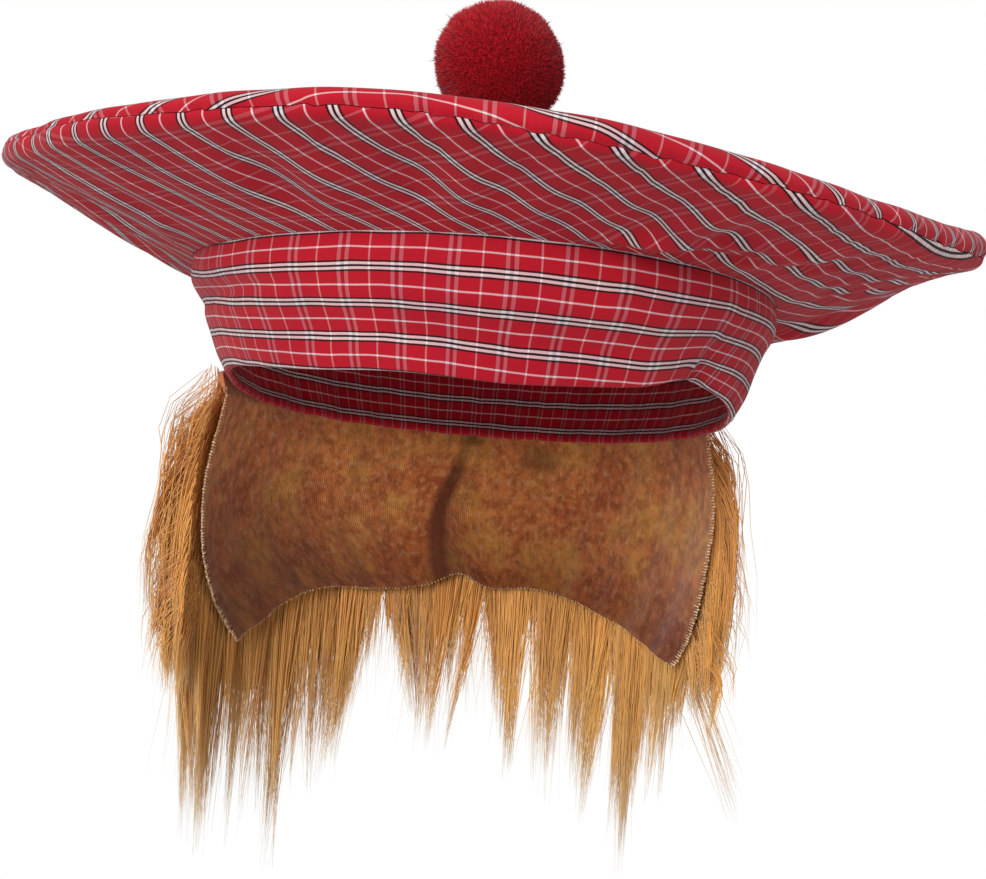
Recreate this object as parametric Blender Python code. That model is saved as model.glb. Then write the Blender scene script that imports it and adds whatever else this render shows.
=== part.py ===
"""A round tartan bonnet with a pompom, and a flap of long fur at the back of its band.

The origin is the middle of the band's opening, at the level of its lower edge, where a head goes in.
The front of the bonnet faces -Y, +X is to the right of someone who looks at its front, and +Z is up.
Angles go round the bonnet in degrees from the front, positive towards +X, with the back at 180.
"""

import math
import random
from collections import namedtuple

import bmesh
import bpy
from mathutils import Vector, noise

# Driving sizes, in metres
CROWN_RADIUS = 0.150
CROWN_SHIFT_X = 0.0035
RIM_HEIGHT = 0.058
CROWN_APEX_HEIGHT = 0.088
EDGE_ROLL_RADIUS = 0.0042
ROLL_START_DEG = 80
ROLL_SEAM_DEG = -100
TOP_PANEL_WALL = 0.0025
UNDERSIDE_WALL = 0.0015
BAND_HEIGHT = 0.036
BAND_HALF_WIDTH = 0.0885
BAND_HALF_DEPTH = 0.100
BAND_TAPER = 0.0120
BAND_WALL = 0.0022
SEAM_ALLOWANCE = 0.0040
GATHER_DEPTH = 0.0016
GATHER_ARC_DEG = 150
GATHER_SPREAD_DEG = 62
CORNER_TUCK = 0.0045
TUCK_START_DEG = 5
TUCK_SPREAD_DEG = 24
TUCK_REACH = 0.6
EDGE_LIFT_REACH = 0.7
CREASE_HEIGHT = 0.0032
CREASE_SEAM_SHARE = 0.12
SAG_LEAN = 0.7
POMPOM_RADIUS = 0.0208
POMPOM_SHIFT_X = -0.001
POMPOM_PRESS = 0.0012
TUFT_HEIGHT = 0.0016
POMPOM_UNEVENNESS = 0.03
POMPOM_LUMPS = 3
BACKING_DROP = 0.0772
BACKING_LAP = 0.0080
BACKING_WALL = 0.0018
BACKING_FLARE = 0.0068
FLARE_AT_BACK = 0.75
FLARE_RUN = 0.45
BACKING_CREASE = 0.0045
BACKING_CREASE_BREADTH = 0.05
HAIR_DROP = 0.1470
PILE_DEPTH = 0.0180
FUR_ROOT_GAP = 0.0008
FUR_LEFT_ANGLE = -98
FUR_RIGHT_ANGLE = 113
CLEARANCE = 0.0003

# How finely the pieces are divided
CROWN_COLUMNS = 64
UNDERSIDE_RINGS = [0.0, 0.05, 0.18, 0.34, 0.52, 0.72, 0.90, 1.0]
ROLL_STEPS = 5
BAND_COLUMNS = 84
BACKING_COLUMNS = 30
BACKING_STEPS = 7
GATHERS = 10
LOCK_COUNT = 22
LOCK_GAP_SHARE = 0.12
PART_SHARE = 0.52
LOCK_DEPTH_RANGE = (0.90, 1.06)
LOCK_TIP_RANGE = (0.88, 1.00)
LOCK_LEAN_RANGE = (-0.5, 0.5)
LOCK_TIP_DEPTH = 0.3
SEED = 7
SHARP_EDGE_DEG = 50

# The rim all round. lift is a share of RIM_HEIGHT and inset is a share of CROWN_RADIUS.
RimRow = namedtuple("RimRow", "angle lift inset")
RIM_ROWS = [
    RimRow(angle=-180, lift=0.00, inset=0.000),
    RimRow(angle=-135, lift=0.06, inset=0.000),
    RimRow(angle=-95, lift=0.14, inset=-0.006),
    RimRow(angle=-62, lift=-0.01, inset=0.004),
    RimRow(angle=-40, lift=-0.045, inset=0.000),
    RimRow(angle=-15, lift=-0.035, inset=0.000),
    RimRow(angle=6, lift=-0.10, inset=0.000),
    RimRow(angle=24, lift=-0.18, inset=0.006),
    RimRow(angle=42, lift=-0.23, inset=0.020),
    RimRow(angle=62, lift=-0.19, inset=0.014),
    RimRow(angle=90, lift=0.02, inset=0.004),
    RimRow(angle=110, lift=0.07, inset=0.000),
    RimRow(angle=140, lift=0.03, inset=0.000),
]

# The top panel from its middle to its edge. out is a share of the radius, drop a share of the fall.
DomeRow = namedtuple("DomeRow", "out drop")
DOME_ROWS = [
    DomeRow(out=0.12, drop=0.025),
    DomeRow(out=0.30, drop=0.170),
    DomeRow(out=0.50, drop=0.430),
    DomeRow(out=0.70, drop=0.700),
    DomeRow(out=0.88, drop=0.905),
]

# The sag of the underside. depth is a share of RIM_HEIGHT, spread is in degrees.
SagRow = namedtuple("SagRow", "angle spread depth")
UNDERSIDE_SAGS = [
    SagRow(angle=120, spread=24, depth=0.160),
    SagRow(angle=180, spread=40, depth=0.050),
    SagRow(angle=-122, spread=28, depth=0.065),
]

# Folds pressed into the underside, from the band (start) towards the rim (end).
# reach is how far out the fold runs, 1 at the rim. width is a share of the underside's breadth,
# and height is a share of CREASE_HEIGHT: above 0 the fold hangs below the cloth.
FoldRow = namedtuple("FoldRow", "start_angle end_angle reach width height")
UNDERSIDE_FOLDS = [
    FoldRow(start_angle=13, end_angle=44, reach=0.60, width=0.15, height=1.0),
    FoldRow(start_angle=24, end_angle=56, reach=0.45, width=0.12, height=-0.6),
    FoldRow(start_angle=-74, end_angle=-60, reach=0.35, width=0.12, height=0.5),
    FoldRow(start_angle=104, end_angle=100, reach=0.80, width=0.14, height=0.9),
    FoldRow(start_angle=122, end_angle=114, reach=0.85, width=0.14, height=-0.9),
    FoldRow(start_angle=140, end_angle=133, reach=0.75, width=0.14, height=0.8),
    FoldRow(start_angle=-140, end_angle=-133, reach=0.70, width=0.15, height=0.7),
]

# The band from its lower edge up. height is a share of BAND_HEIGHT, inset a share of BAND_TAPER.
BandRow = namedtuple("BandRow", "height inset")
BAND_ROWS = [
    BandRow(height=1.00, inset=0.00),
    BandRow(height=0.80, inset=-0.03),
    BandRow(height=0.60, inset=0.27),
    BandRow(height=0.42, inset=0.50),
    BandRow(height=0.20, inset=0.74),
    BandRow(height=0.04, inset=0.98),
]

# The lower edge of the band. lift is a share of BAND_HEIGHT, spread is in degrees.
EdgeRow = namedtuple("EdgeRow", "angle spread lift")
BAND_EDGE_LIFTS = [
    EdgeRow(angle=50, spread=11, lift=0.30),
    EdgeRow(angle=-84, spread=12, lift=0.12),
    EdgeRow(angle=140, spread=22, lift=-0.05),
    EdgeRow(angle=180, spread=70, lift=-0.04),
]

# The side hems of the flap from its top (down = 0) to its lower edge (down = 1), as angles.
HemRow = namedtuple("HemRow", "down left right")
HEM_ROWS = [
    HemRow(down=0.00, left=-90, right=110),
    HemRow(down=0.25, left=-93, right=109),
    HemRow(down=0.62, left=-94, right=111),
    HemRow(down=0.82, left=-104, right=115),
    HemRow(down=1.00, left=-119, right=122),
]

# The arched lower edge of the flap, from its left hem (across = 0) to its right hem (across = 1).
# drop is a share of BACKING_DROP.
DropRow = namedtuple("DropRow", "across drop")
BACKING_EDGE = [
    DropRow(across=0.00, drop=1.000),
    DropRow(across=0.06, drop=0.920),
    DropRow(across=0.13, drop=0.817),
    DropRow(across=0.22, drop=0.750),
    DropRow(across=0.34, drop=0.740),
    DropRow(across=0.43, drop=0.709),
    DropRow(across=0.50, drop=0.646),
    DropRow(across=0.56, drop=0.700),
    DropRow(across=0.65, drop=0.690),
    DropRow(across=0.74, drop=0.729),
    DropRow(across=0.81, drop=0.788),
    DropRow(across=0.87, drop=0.841),
    DropRow(across=0.95, drop=0.931),
    DropRow(across=1.00, drop=0.978),
]

# The long crease that leans down the middle of the flap. depth is a share of BACKING_CREASE.
CreaseRow = namedtuple("CreaseRow", "down across depth")
BACKING_CREASE_ROWS = [
    CreaseRow(down=0.00, across=0.545, depth=0.31),
    CreaseRow(down=0.25, across=0.526, depth=0.82),
    CreaseRow(down=0.53, across=0.505, depth=1.00),
    CreaseRow(down=0.80, across=0.485, depth=0.81),
    CreaseRow(down=1.00, across=0.470, depth=0.45),
]

# The fur across the flap, from its left side (across = 0) to its right side (across = 1).
# tip is a share of HAIR_DROP, and depth is a share of PILE_DEPTH.
FurRow = namedtuple("FurRow", "across tip depth")
FUR_ROWS = [
    FurRow(across=0.00, tip=0.72, depth=1.35),
    FurRow(across=0.07, tip=0.88, depth=1.32),
    FurRow(across=0.14, tip=0.98, depth=1.22),
    FurRow(across=0.25, tip=1.00, depth=1.08),
    FurRow(across=0.33, tip=0.92, depth=1.00),
    FurRow(across=0.39, tip=0.67, depth=0.96),
    FurRow(across=0.47, tip=0.60, depth=0.96),
    FurRow(across=0.53, tip=0.72, depth=0.96),
    FurRow(across=0.69, tip=0.75, depth=0.95),
    FurRow(across=0.78, tip=0.82, depth=0.92),
    FurRow(across=0.87, tip=0.90, depth=0.96),
    FurRow(across=0.95, tip=0.80, depth=1.00),
    FurRow(across=1.00, tip=0.66, depth=1.02),
]

# How deep the fur stands from its top (down = 0) to where the locks part (down = 1).
# depth is a share of the depth that FUR_ROWS gives.
PileRow = namedtuple("PileRow", "down depth")
PILE_ROWS = [
    PileRow(down=0.00, depth=0.22),
    PileRow(down=0.12, depth=0.76),
    PileRow(down=0.30, depth=1.00),
    PileRow(down=0.52, depth=1.00),
    PileRow(down=0.76, depth=0.95),
    PileRow(down=1.00, depth=0.86),
]

# One lock below the place where the locks part. down runs to the tip, and the others are shares.
LockRow = namedtuple("LockRow", "down width depth")
LOCK_ROWS = [
    LockRow(down=0.35, width=0.80, depth=0.80),
    LockRow(down=0.68, width=0.52, depth=0.52),
    LockRow(down=0.90, width=0.22, depth=0.25),
]

# The ridge down each lock. side is a share of half its width, and depth a share of the fur's depth.
RidgeRow = namedtuple("RidgeRow", "side depth")
RIDGE_ROWS = [
    RidgeRow(side=-1.0, depth=0.70),
    RidgeRow(side=0.0, depth=1.00),
    RidgeRow(side=1.0, depth=0.70),
]


# Shared helpers


def between(rows, place, key, field, period=None):
    """A smooth value through the rows of a table, read at one place."""
    xs = [getattr(row, key) for row in rows]
    ys = [getattr(row, field) for row in rows]
    if period:
        xs = [xs[-1] - period, *xs, xs[0] + period, xs[1] + period]
        ys = [ys[-1], *ys, ys[0], ys[1]]
    place = min(max(place, xs[0]), xs[-1])
    i = max(j for j in range(len(xs) - 1) if xs[j] <= place or j == 0)

    def slope(j):
        low, high = max(j - 1, 0), min(j + 1, len(xs) - 1)
        return (ys[high] - ys[low]) / (xs[high] - xs[low])

    step = xs[i + 1] - xs[i]
    t = (place - xs[i]) / step
    rise = ys[i + 1] - ys[i]
    start, end = slope(i) * step, slope(i + 1) * step
    return ys[i] + t * (start + t * (3 * rise - 2 * start - end + t * (start + end - 2 * rise)))


def turned(angle):
    """The same angle between -180 and 180."""
    return (angle + 180) % 360 - 180


def bell(distance, spread):
    return math.exp(-((distance / spread) ** 2))


def direction(angle):
    """The level unit vector that points out of the bonnet at an angle from the front."""
    return Vector((math.sin(math.radians(angle)), -math.cos(math.radians(angle)), 0))


def make_material(name, color, roughness, sheen=0.0):
    material = bpy.data.materials.new(name)
    material.use_nodes = True
    shader = material.node_tree.nodes["Principled BSDF"]
    shader.inputs["Base Color"].default_value = (*color, 1)
    shader.inputs["Roughness"].default_value = roughness
    shader.inputs["Metallic"].default_value = 0.0
    shader.inputs["Sheen Weight"].default_value = sheen
    material.diffuse_color = (*color, 1)
    return material


def finish_object(name, mesh, material):
    mesh.validate()
    obj = bpy.data.objects.new(name, mesh)
    bpy.context.scene.collection.objects.link(obj)
    obj.data.materials.append(material)
    mesh.shade_smooth()
    mesh.set_sharp_from_angle(angle=math.radians(SHARP_EDGE_DEG))
    return obj


def sheet_mesh(name, columns, wrap, pole=None):
    """A sheet through columns of points. wrap joins the last column to the first one."""
    mesh = bpy.data.meshes.new(name)
    bm = bmesh.new()
    grid = [[bm.verts.new(point) for point in column] for column in columns]
    count = len(grid) if wrap else len(grid) - 1
    for i in range(count):
        here, there = grid[i], grid[(i + 1) % len(grid)]
        for j in range(len(here) - 1):
            bm.faces.new((here[j], here[j + 1], there[j + 1], there[j]))
    if pole:
        middle = bm.verts.new(pole)
        for i in range(count):
            bm.faces.new((middle, grid[i][0], grid[(i + 1) % len(grid)][0]))
    bmesh.ops.recalc_face_normals(bm, faces=bm.faces)
    bm.to_mesh(mesh)
    bm.free()
    return mesh


def face_outward(mesh, inside):
    """Turns the sheet's faces so that they look away from a point inside the bonnet."""
    score = sum(face.normal.dot(face.center - inside) * face.area for face in mesh.polygons)
    if score < 0:
        mesh.flip_normals()


def thicken(obj, wall, outward=False):
    """Gives a sheet its wall, inside it or outside it."""
    solidify = obj.modifiers.new("Wall", "SOLIDIFY")
    solidify.thickness = wall
    solidify.offset = 1.0 if outward else -1.0
    solidify.use_even_offset = True
    solidify.use_rim = True


# Shape of the crown


def rim_height(angle):
    """The height of the middle of the edge roll."""
    return RIM_HEIGHT * (1 + between(RIM_ROWS, turned(angle), "angle", "lift", period=360))


def rim_radius(angle):
    """The radius of the middle of the edge roll."""
    inset = between(RIM_ROWS, turned(angle), "angle", "inset", period=360)
    return CROWN_RADIUS * (1 - inset) - EDGE_ROLL_RADIUS


def crown_point(angle, radius, height):
    point = direction(angle) * radius
    return Vector((point.x + CROWN_SHIFT_X, point.y, height))


def top_panel_column(angle):
    """Points of the top panel's outer face, from near its middle to the seam under the rim."""
    out, middle = rim_radius(angle), rim_height(angle)
    fall = CROWN_APEX_HEIGHT - (middle + EDGE_ROLL_RADIUS)
    column = [
        crown_point(angle, out * row.out, CROWN_APEX_HEIGHT - fall * row.drop) for row in DOME_ROWS
    ]
    for step in range(ROLL_STEPS + 1):
        share = step / ROLL_STEPS
        turn = math.radians(ROLL_START_DEG + (ROLL_SEAM_DEG - ROLL_START_DEG) * share)
        column.append(
            crown_point(
                angle,
                out + EDGE_ROLL_RADIUS * math.cos(turn),
                middle + EDGE_ROLL_RADIUS * math.sin(turn),
            )
        )
    return column


def make_crown_top(material):
    angles = [360 * i / CROWN_COLUMNS for i in range(CROWN_COLUMNS)]
    pole = Vector((CROWN_SHIFT_X, 0, CROWN_APEX_HEIGHT))
    mesh = sheet_mesh("crown_top", [top_panel_column(angle) for angle in angles], True, pole)
    face_outward(mesh, Vector((CROWN_SHIFT_X, 0, RIM_HEIGHT)))
    thicken(finish_object("crown_top", mesh, material), TOP_PANEL_WALL)


# Shape of the band


def band_inset(share):
    """How far the band's outer face lies in from its top seam, at a share of its height."""
    rows = sorted(BAND_ROWS, key=lambda row: row.height)
    return BAND_TAPER * between(rows, share, "height", "inset")


def gather_wave(angle):
    """The gathers that the elastic makes round the back of the band."""
    from_back = turned(angle - 180)
    phase = math.radians(from_back * 360 * GATHERS / GATHER_ARC_DEG)
    return math.cos(phase) * bell(from_back, GATHER_SPREAD_DEG)


def corner_tuck(angle, share):
    """The band's lower right corner, where the cloth turns in behind the front."""
    turn = angle - BAND_EDGE_LIFTS[0].angle
    if turn < 0:
        return 0.0
    fade = min(turn / TUCK_START_DEG, 1) * bell(turn, TUCK_SPREAD_DEG)
    return CORNER_TUCK * fade * max(0.0, 1 - share / TUCK_REACH)


def band_point(angle, share, grow=0.0):
    """A point of the band's outer face. grow moves it out, as for what lies on the band."""
    inset = band_inset(share) - grow
    inset += corner_tuck(turned(angle), share)
    inset += GATHER_DEPTH * gather_wave(angle) * (1 - min(share, 1))
    lift = sum(row.lift * bell(turned(angle - row.angle), row.spread) for row in BAND_EDGE_LIFTS)
    height = BAND_HEIGHT * (share + lift * max(0.0, 1 - share / EDGE_LIFT_REACH))
    way = direction(angle)
    return Vector(((BAND_HALF_WIDTH - inset) * way.x, (BAND_HALF_DEPTH - inset) * way.y, height))


def make_headband(material):
    shares = [1 + SEAM_ALLOWANCE / BAND_HEIGHT, *(row.height for row in BAND_ROWS)]
    columns = []
    for i in range(BAND_COLUMNS):
        angle = 360 * i / BAND_COLUMNS
        column = [band_point(angle, min(share, 1.0)) for share in shares]
        column[0].z = BAND_HEIGHT + SEAM_ALLOWANCE
        columns.append(column)
    mesh = sheet_mesh("headband", columns, True)
    face_outward(mesh, Vector((0, 0, BAND_HEIGHT / 2)))
    thicken(finish_object("headband", mesh, material), BAND_WALL)


# Shape of the underside


def fold_offset(angle, share):
    """How far the folds push the underside down. share is 0 at the band and 1 at the rim."""
    total = 0.0
    for row in UNDERSIDE_FOLDS:
        along = min(share / row.reach, 1.0)
        line = row.start_angle + (row.end_angle - row.start_angle) * along
        across = math.radians(turned(angle - line)) * (BAND_HALF_WIDTH + CROWN_RADIUS) / 2
        breadth = CROWN_RADIUS - BAND_HALF_WIDTH
        fade = math.sqrt(max(0.0, 1 - share / row.reach))
        total += CREASE_HEIGHT * row.height * bell(across, row.width * breadth) * fade
    return total


def underside_point(angle, share):
    """A point of the underside's lower face."""
    inner = band_point(angle, 1.0, grow=CLEARANCE)
    seam = math.radians(ROLL_SEAM_DEG)
    outer = crown_point(
        angle,
        rim_radius(angle) + EDGE_ROLL_RADIUS * math.cos(seam) - CLEARANCE,
        rim_height(angle) + EDGE_ROLL_RADIUS * math.sin(seam),
    )
    point = inner.lerp(outer, share)
    sag = sum(row.depth * bell(turned(angle - row.angle), row.spread) for row in UNDERSIDE_SAGS)
    point.z -= RIM_HEIGHT * sag * math.sin(math.pi * share**SAG_LEAN)
    point.z -= fold_offset(angle, share) * min(1.0, share / CREASE_SEAM_SHARE)
    return point


def make_crown_underside(material):
    columns = []
    for i in range(CROWN_COLUMNS):
        angle = 360 * i / CROWN_COLUMNS
        column = [underside_point(angle, share) for share in UNDERSIDE_RINGS]
        column[1].z = column[0].z
        columns.append(column)
    mesh = sheet_mesh("crown_underside", columns, True)
    face_outward(mesh, Vector((CROWN_SHIFT_X, 0, CROWN_APEX_HEIGHT)))
    thicken(finish_object("crown_underside", mesh, material), UNDERSIDE_WALL)


# Pompom


def top_panel_height(x, y):
    """The height of the top panel's outer face over a point near its middle."""
    angle = math.degrees(math.atan2(x - CROWN_SHIFT_X, -y))
    out = math.hypot(x - CROWN_SHIFT_X, y) / rim_radius(angle)
    fall = CROWN_APEX_HEIGHT - (rim_height(angle) + EDGE_ROLL_RADIUS)
    rows = [DomeRow(out=0, drop=0), *DOME_ROWS]
    return CROWN_APEX_HEIGHT - fall * between(rows, out, "out", "drop")


def make_pompom(material):
    mesh = bpy.data.meshes.new("pompom")
    bm = bmesh.new()
    bmesh.ops.create_icosphere(bm, subdivisions=3, radius=1.0)
    hollows = set(bm.verts)
    bmesh.ops.poke(bm, faces=bm.faces)
    height = CROWN_APEX_HEIGHT + POMPOM_RADIUS - POMPOM_PRESS
    centre = Vector((POMPOM_SHIFT_X, 0, height))
    for vert in bm.verts:
        way = vert.co.normalized()
        out = POMPOM_RADIUS * (1 + POMPOM_UNEVENNESS * noise.noise(way * POMPOM_LUMPS))
        point = centre + way * (out - TUFT_HEIGHT if vert in hollows else out)
        point.z = max(point.z, top_panel_height(point.x, point.y) + CLEARANCE)
        vert.co = point
    bm.to_mesh(mesh)
    bm.free()
    finish_object("pompom", mesh, material)


# Fur flap


def flap_flare(angle, height):
    """How far the flap hangs out from the band's lower edge."""
    below = min(max(-height / BACKING_DROP, 0.0), 1.0)
    spread = FLARE_AT_BACK + (1 - FLARE_AT_BACK) * math.sin(math.radians(angle)) ** 2
    return BACKING_FLARE * spread * math.sin(math.pi / 2 * min(below / FLARE_RUN, 1.0))


def flap_wall_point(angle, height, grow=0.0):
    """A point at a height on the curved wall that the flap follows. grow moves it out."""
    inset = band_inset(max(height, 0.0) / BAND_HEIGHT) - grow - flap_flare(angle, height)
    inset -= GATHER_DEPTH * bell(turned(angle - 180), GATHER_SPREAD_DEG) + 2 * CLEARANCE
    way = direction(angle)
    return Vector(((BAND_HALF_WIDTH - inset) * way.x, (BAND_HALF_DEPTH - inset) * way.y, height))


def hanging_height(down, drop, lap_share):
    """The height at a share of the way down. The first lap_share of it lies on the band."""
    if down < lap_share:
        return BACKING_LAP * (1 - down / lap_share)
    return -drop * (down - lap_share) / (1 - lap_share)


def flap_crease(across, down):
    """How far the long crease pushes the flap in."""
    line = between(BACKING_CREASE_ROWS, down, "down", "across")
    depth = BACKING_CREASE * between(BACKING_CREASE_ROWS, down, "down", "depth")
    return depth * bell(across - line, BACKING_CREASE_BREADTH)


def flap_point(across, down):
    """A point of the flap's inner face. across runs between the hems, and down to the lower edge."""
    left = between(HEM_ROWS, down, "down", "left")
    right = between(HEM_ROWS, down, "down", "right")
    drop = BACKING_DROP * between(BACKING_EDGE, across, "across", "drop")
    height = hanging_height(down, drop, 1 / BACKING_STEPS)
    crease = flap_crease(across, down) if height < 0 else 0.0
    return flap_wall_point(left + (right - 360 - left) * across, height, grow=-crease)


def make_hair_backing(material):
    columns = [
        [flap_point(i / BACKING_COLUMNS, j / BACKING_STEPS) for j in range(BACKING_STEPS + 1)]
        for i in range(BACKING_COLUMNS + 1)
    ]
    mesh = sheet_mesh("hair_backing", columns, False)
    face_outward(mesh, Vector((0, 0, -BACKING_DROP / 2)))
    thicken(finish_object("hair_backing", mesh, material), BACKING_WALL, outward=True)


def fur_pair(across, height, depth):
    """The root point and the outer point of the fur at one place."""
    angle = FUR_LEFT_ANGLE + (FUR_RIGHT_ANGLE - 360 - FUR_LEFT_ANGLE) * across
    root = BACKING_WALL + FUR_ROOT_GAP
    return flap_wall_point(angle, height, root), flap_wall_point(angle, height, root + depth)


class Lock:
    """One lock of the fur: where it lies, how thick it is and where its tip hangs."""

    def __init__(self, number, chance):
        pitch = 1 / LOCK_COUNT
        self.middle = pitch * (number + 0.5)
        self.half = pitch * (1 - LOCK_GAP_SHARE) / 2
        self.depth = PILE_DEPTH * between(FUR_ROWS, self.middle, "across", "depth")
        self.depth *= chance.uniform(*LOCK_DEPTH_RANGE)
        self.tip = -HAIR_DROP * between(FUR_ROWS, self.middle, "across", "tip")
        self.tip *= chance.uniform(*LOCK_TIP_RANGE)
        self.part = self.tip * PART_SHARE
        self.lean = pitch * chance.uniform(*LOCK_LEAN_RANGE)

    def upper_rows(self, ridge):
        """Root and outer points down one edge or the ridge, to where the locks part."""
        for row in PILE_ROWS:
            height = hanging_height(row.down, -self.part, PILE_ROWS[1].down)
            place = self.middle + self.half * ridge.side
            yield fur_pair(place, height, self.depth * row.depth * ridge.depth)

    def ring(self, row):
        """The points round the lock at one height below the parting."""
        height = self.part + (self.tip - self.part) * row.down
        place = self.middle + self.lean * row.down
        depth = self.depth * PILE_ROWS[-1].depth * row.depth
        pairs = [
            fur_pair(place + self.half * ridge.side * row.width, height, depth * ridge.depth)
            for ridge in RIDGE_ROWS
        ]
        return [pair[0] for pair in pairs] + [pair[1] for pair in reversed(pairs)]

    def tip_point(self):
        root, outer = fur_pair(self.middle + self.lean, self.tip, self.depth * LOCK_TIP_DEPTH)
        return (root + outer) / 2


def make_hair(material):
    """Fur as one shell with a ridge down each lock, which narrows to its own tip below."""
    chance = random.Random(SEED)
    locks = [Lock(number, chance) for number in range(LOCK_COUNT)]
    bm = bmesh.new()
    columns = [
        [[bm.verts.new(point) for point in pair] for pair in lock.upper_rows(ridge)]
        for lock in locks
        for ridge in RIDGE_ROWS
    ]
    for here, there in zip(columns, columns[1:]):
        bm.faces.new((*here[0], *reversed(there[0])))
        for a, b, c, d in zip(here, here[1:], there[1:], there):
            bm.faces.new((a[0], b[0], c[0], d[0]))
            bm.faces.new((a[1], b[1], c[1], d[1]))
    for column in (columns[0], columns[-1]):
        for a, b in zip(column, column[1:]):
            bm.faces.new((*a, *reversed(b)))
    per_lock = len(RIDGE_ROWS)
    for number, lock in enumerate(locks):
        mine = [column[-1] for column in columns[number * per_lock : (number + 1) * per_lock]]
        if number:
            bm.faces.new((*columns[number * per_lock - 1][-1], *reversed(mine[0])))
        loop = [pair[0] for pair in mine] + [pair[1] for pair in reversed(mine)]
        for row in LOCK_ROWS:
            ring = [bm.verts.new(point) for point in lock.ring(row)]
            for j in range(len(loop)):
                k = (j + 1) % len(loop)
                bm.faces.new((loop[j], loop[k], ring[k], ring[j]))
            loop = ring
        tip = bm.verts.new(lock.tip_point())
        for j in range(len(loop)):
            bm.faces.new((loop[j], loop[(j + 1) % len(loop)], tip))
    bmesh.ops.recalc_face_normals(bm, faces=bm.faces)
    mesh = bpy.data.meshes.new("hair")
    bm.to_mesh(mesh)
    bm.free()
    finish_object("hair", mesh, material)


def main():
    for obj in list(bpy.data.objects):
        bpy.data.objects.remove(obj)
    tartan = make_material("red_tartan_cloth", (0.50, 0.025, 0.045), 0.75, sheen=0.2)
    pile = make_material("dark_red_pile", (0.36, 0.008, 0.018), 0.90, sheen=0.4)
    knit = make_material("brown_knit_backing", (0.27, 0.10, 0.025), 0.90)
    fur = make_material("ginger_fur", (0.47, 0.19, 0.045), 0.60, sheen=0.2)
    make_crown_top(tartan)
    make_crown_underside(tartan)
    make_headband(tartan)
    make_pompom(pile)
    make_hair_backing(knit)
    make_hair(fur)


main()
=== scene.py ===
# %% [markdown]
# # A tartan bonnet with a pompom and a flap of long fur
#
# The solid model of the bonnet is already built and packed. This lesson dresses it: each plain solid
# gives way to a finer piece of the same shape and place, with its weave, pile, stitches and fur.
# The model is loaded first, because every piece takes its place from it. Its box is kept, so that at
# the end the two can be compared.

# %% Load the solid model
import math

import bpy
import numpy as np
from mathutils import Matrix, Vector


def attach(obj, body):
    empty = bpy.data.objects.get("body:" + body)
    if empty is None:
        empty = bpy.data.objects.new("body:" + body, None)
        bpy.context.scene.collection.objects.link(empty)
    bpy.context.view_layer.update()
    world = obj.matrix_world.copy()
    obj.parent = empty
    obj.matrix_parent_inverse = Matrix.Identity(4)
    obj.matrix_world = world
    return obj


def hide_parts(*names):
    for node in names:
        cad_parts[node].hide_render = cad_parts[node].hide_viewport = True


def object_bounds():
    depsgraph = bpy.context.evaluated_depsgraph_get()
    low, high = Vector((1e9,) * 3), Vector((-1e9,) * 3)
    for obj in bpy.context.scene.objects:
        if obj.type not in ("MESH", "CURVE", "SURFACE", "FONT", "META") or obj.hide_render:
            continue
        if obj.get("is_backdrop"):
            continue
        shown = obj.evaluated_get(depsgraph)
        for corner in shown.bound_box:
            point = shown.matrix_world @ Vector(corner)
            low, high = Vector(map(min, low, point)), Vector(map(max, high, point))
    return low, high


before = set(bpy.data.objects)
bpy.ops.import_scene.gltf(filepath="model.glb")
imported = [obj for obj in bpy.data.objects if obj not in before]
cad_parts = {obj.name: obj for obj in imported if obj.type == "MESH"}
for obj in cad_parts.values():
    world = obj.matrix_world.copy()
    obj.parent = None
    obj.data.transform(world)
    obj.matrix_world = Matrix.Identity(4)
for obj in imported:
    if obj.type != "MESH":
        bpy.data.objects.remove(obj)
solid_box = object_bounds()
print("solids:", ", ".join(sorted(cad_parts)))

# %% [markdown]
# ## The camera
#
# The bonnet is seen from the front and from a little below, with the camera leaning slightly to one
# side, so that the rim runs downhill to the right. A long lens from half a metre keeps the round
# crown from bulging. The turn about the view's own axis is easiest as a product of two rotations.

# %% Set up the camera
CAMERA_PLACE = (0.006, -0.565, -0.050)
CAMERA_TILT_UP = 4.2
CAMERA_LEAN = 4.3
LENS_MM = 67.55

camera_data = bpy.data.cameras.new("camera")
camera_data.lens = LENS_MM
camera_data.sensor_width = 36.0
camera = bpy.data.objects.new("camera", camera_data)
bpy.context.scene.collection.objects.link(camera)
tilt = Matrix.Rotation(math.radians(90 + CAMERA_TILT_UP), 4, "X")
lean = Matrix.Rotation(math.radians(CAMERA_LEAN), 4, "Z")
camera.matrix_world = Matrix.Translation(CAMERA_PLACE) @ tilt @ lean
bpy.context.scene.camera = camera
print("camera at", CAMERA_PLACE)

# %% [markdown]
# ## Reading shapes from short tables
#
# A soft shape is easiest to describe by a few heights or depths and a smooth curve through them.
# The curve here is a cubic that passes through every row with the slope of its two neighbours. All
# helpers work on whole arrays of angles, because a loop over each point would be slow.

# %% Helpers for smooth tables and directions
def table(columns, *rows):
    """Named columns of numbers. The first column says where each row stands."""
    return dict(zip(columns.split(), np.array(rows, float).T))


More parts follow.
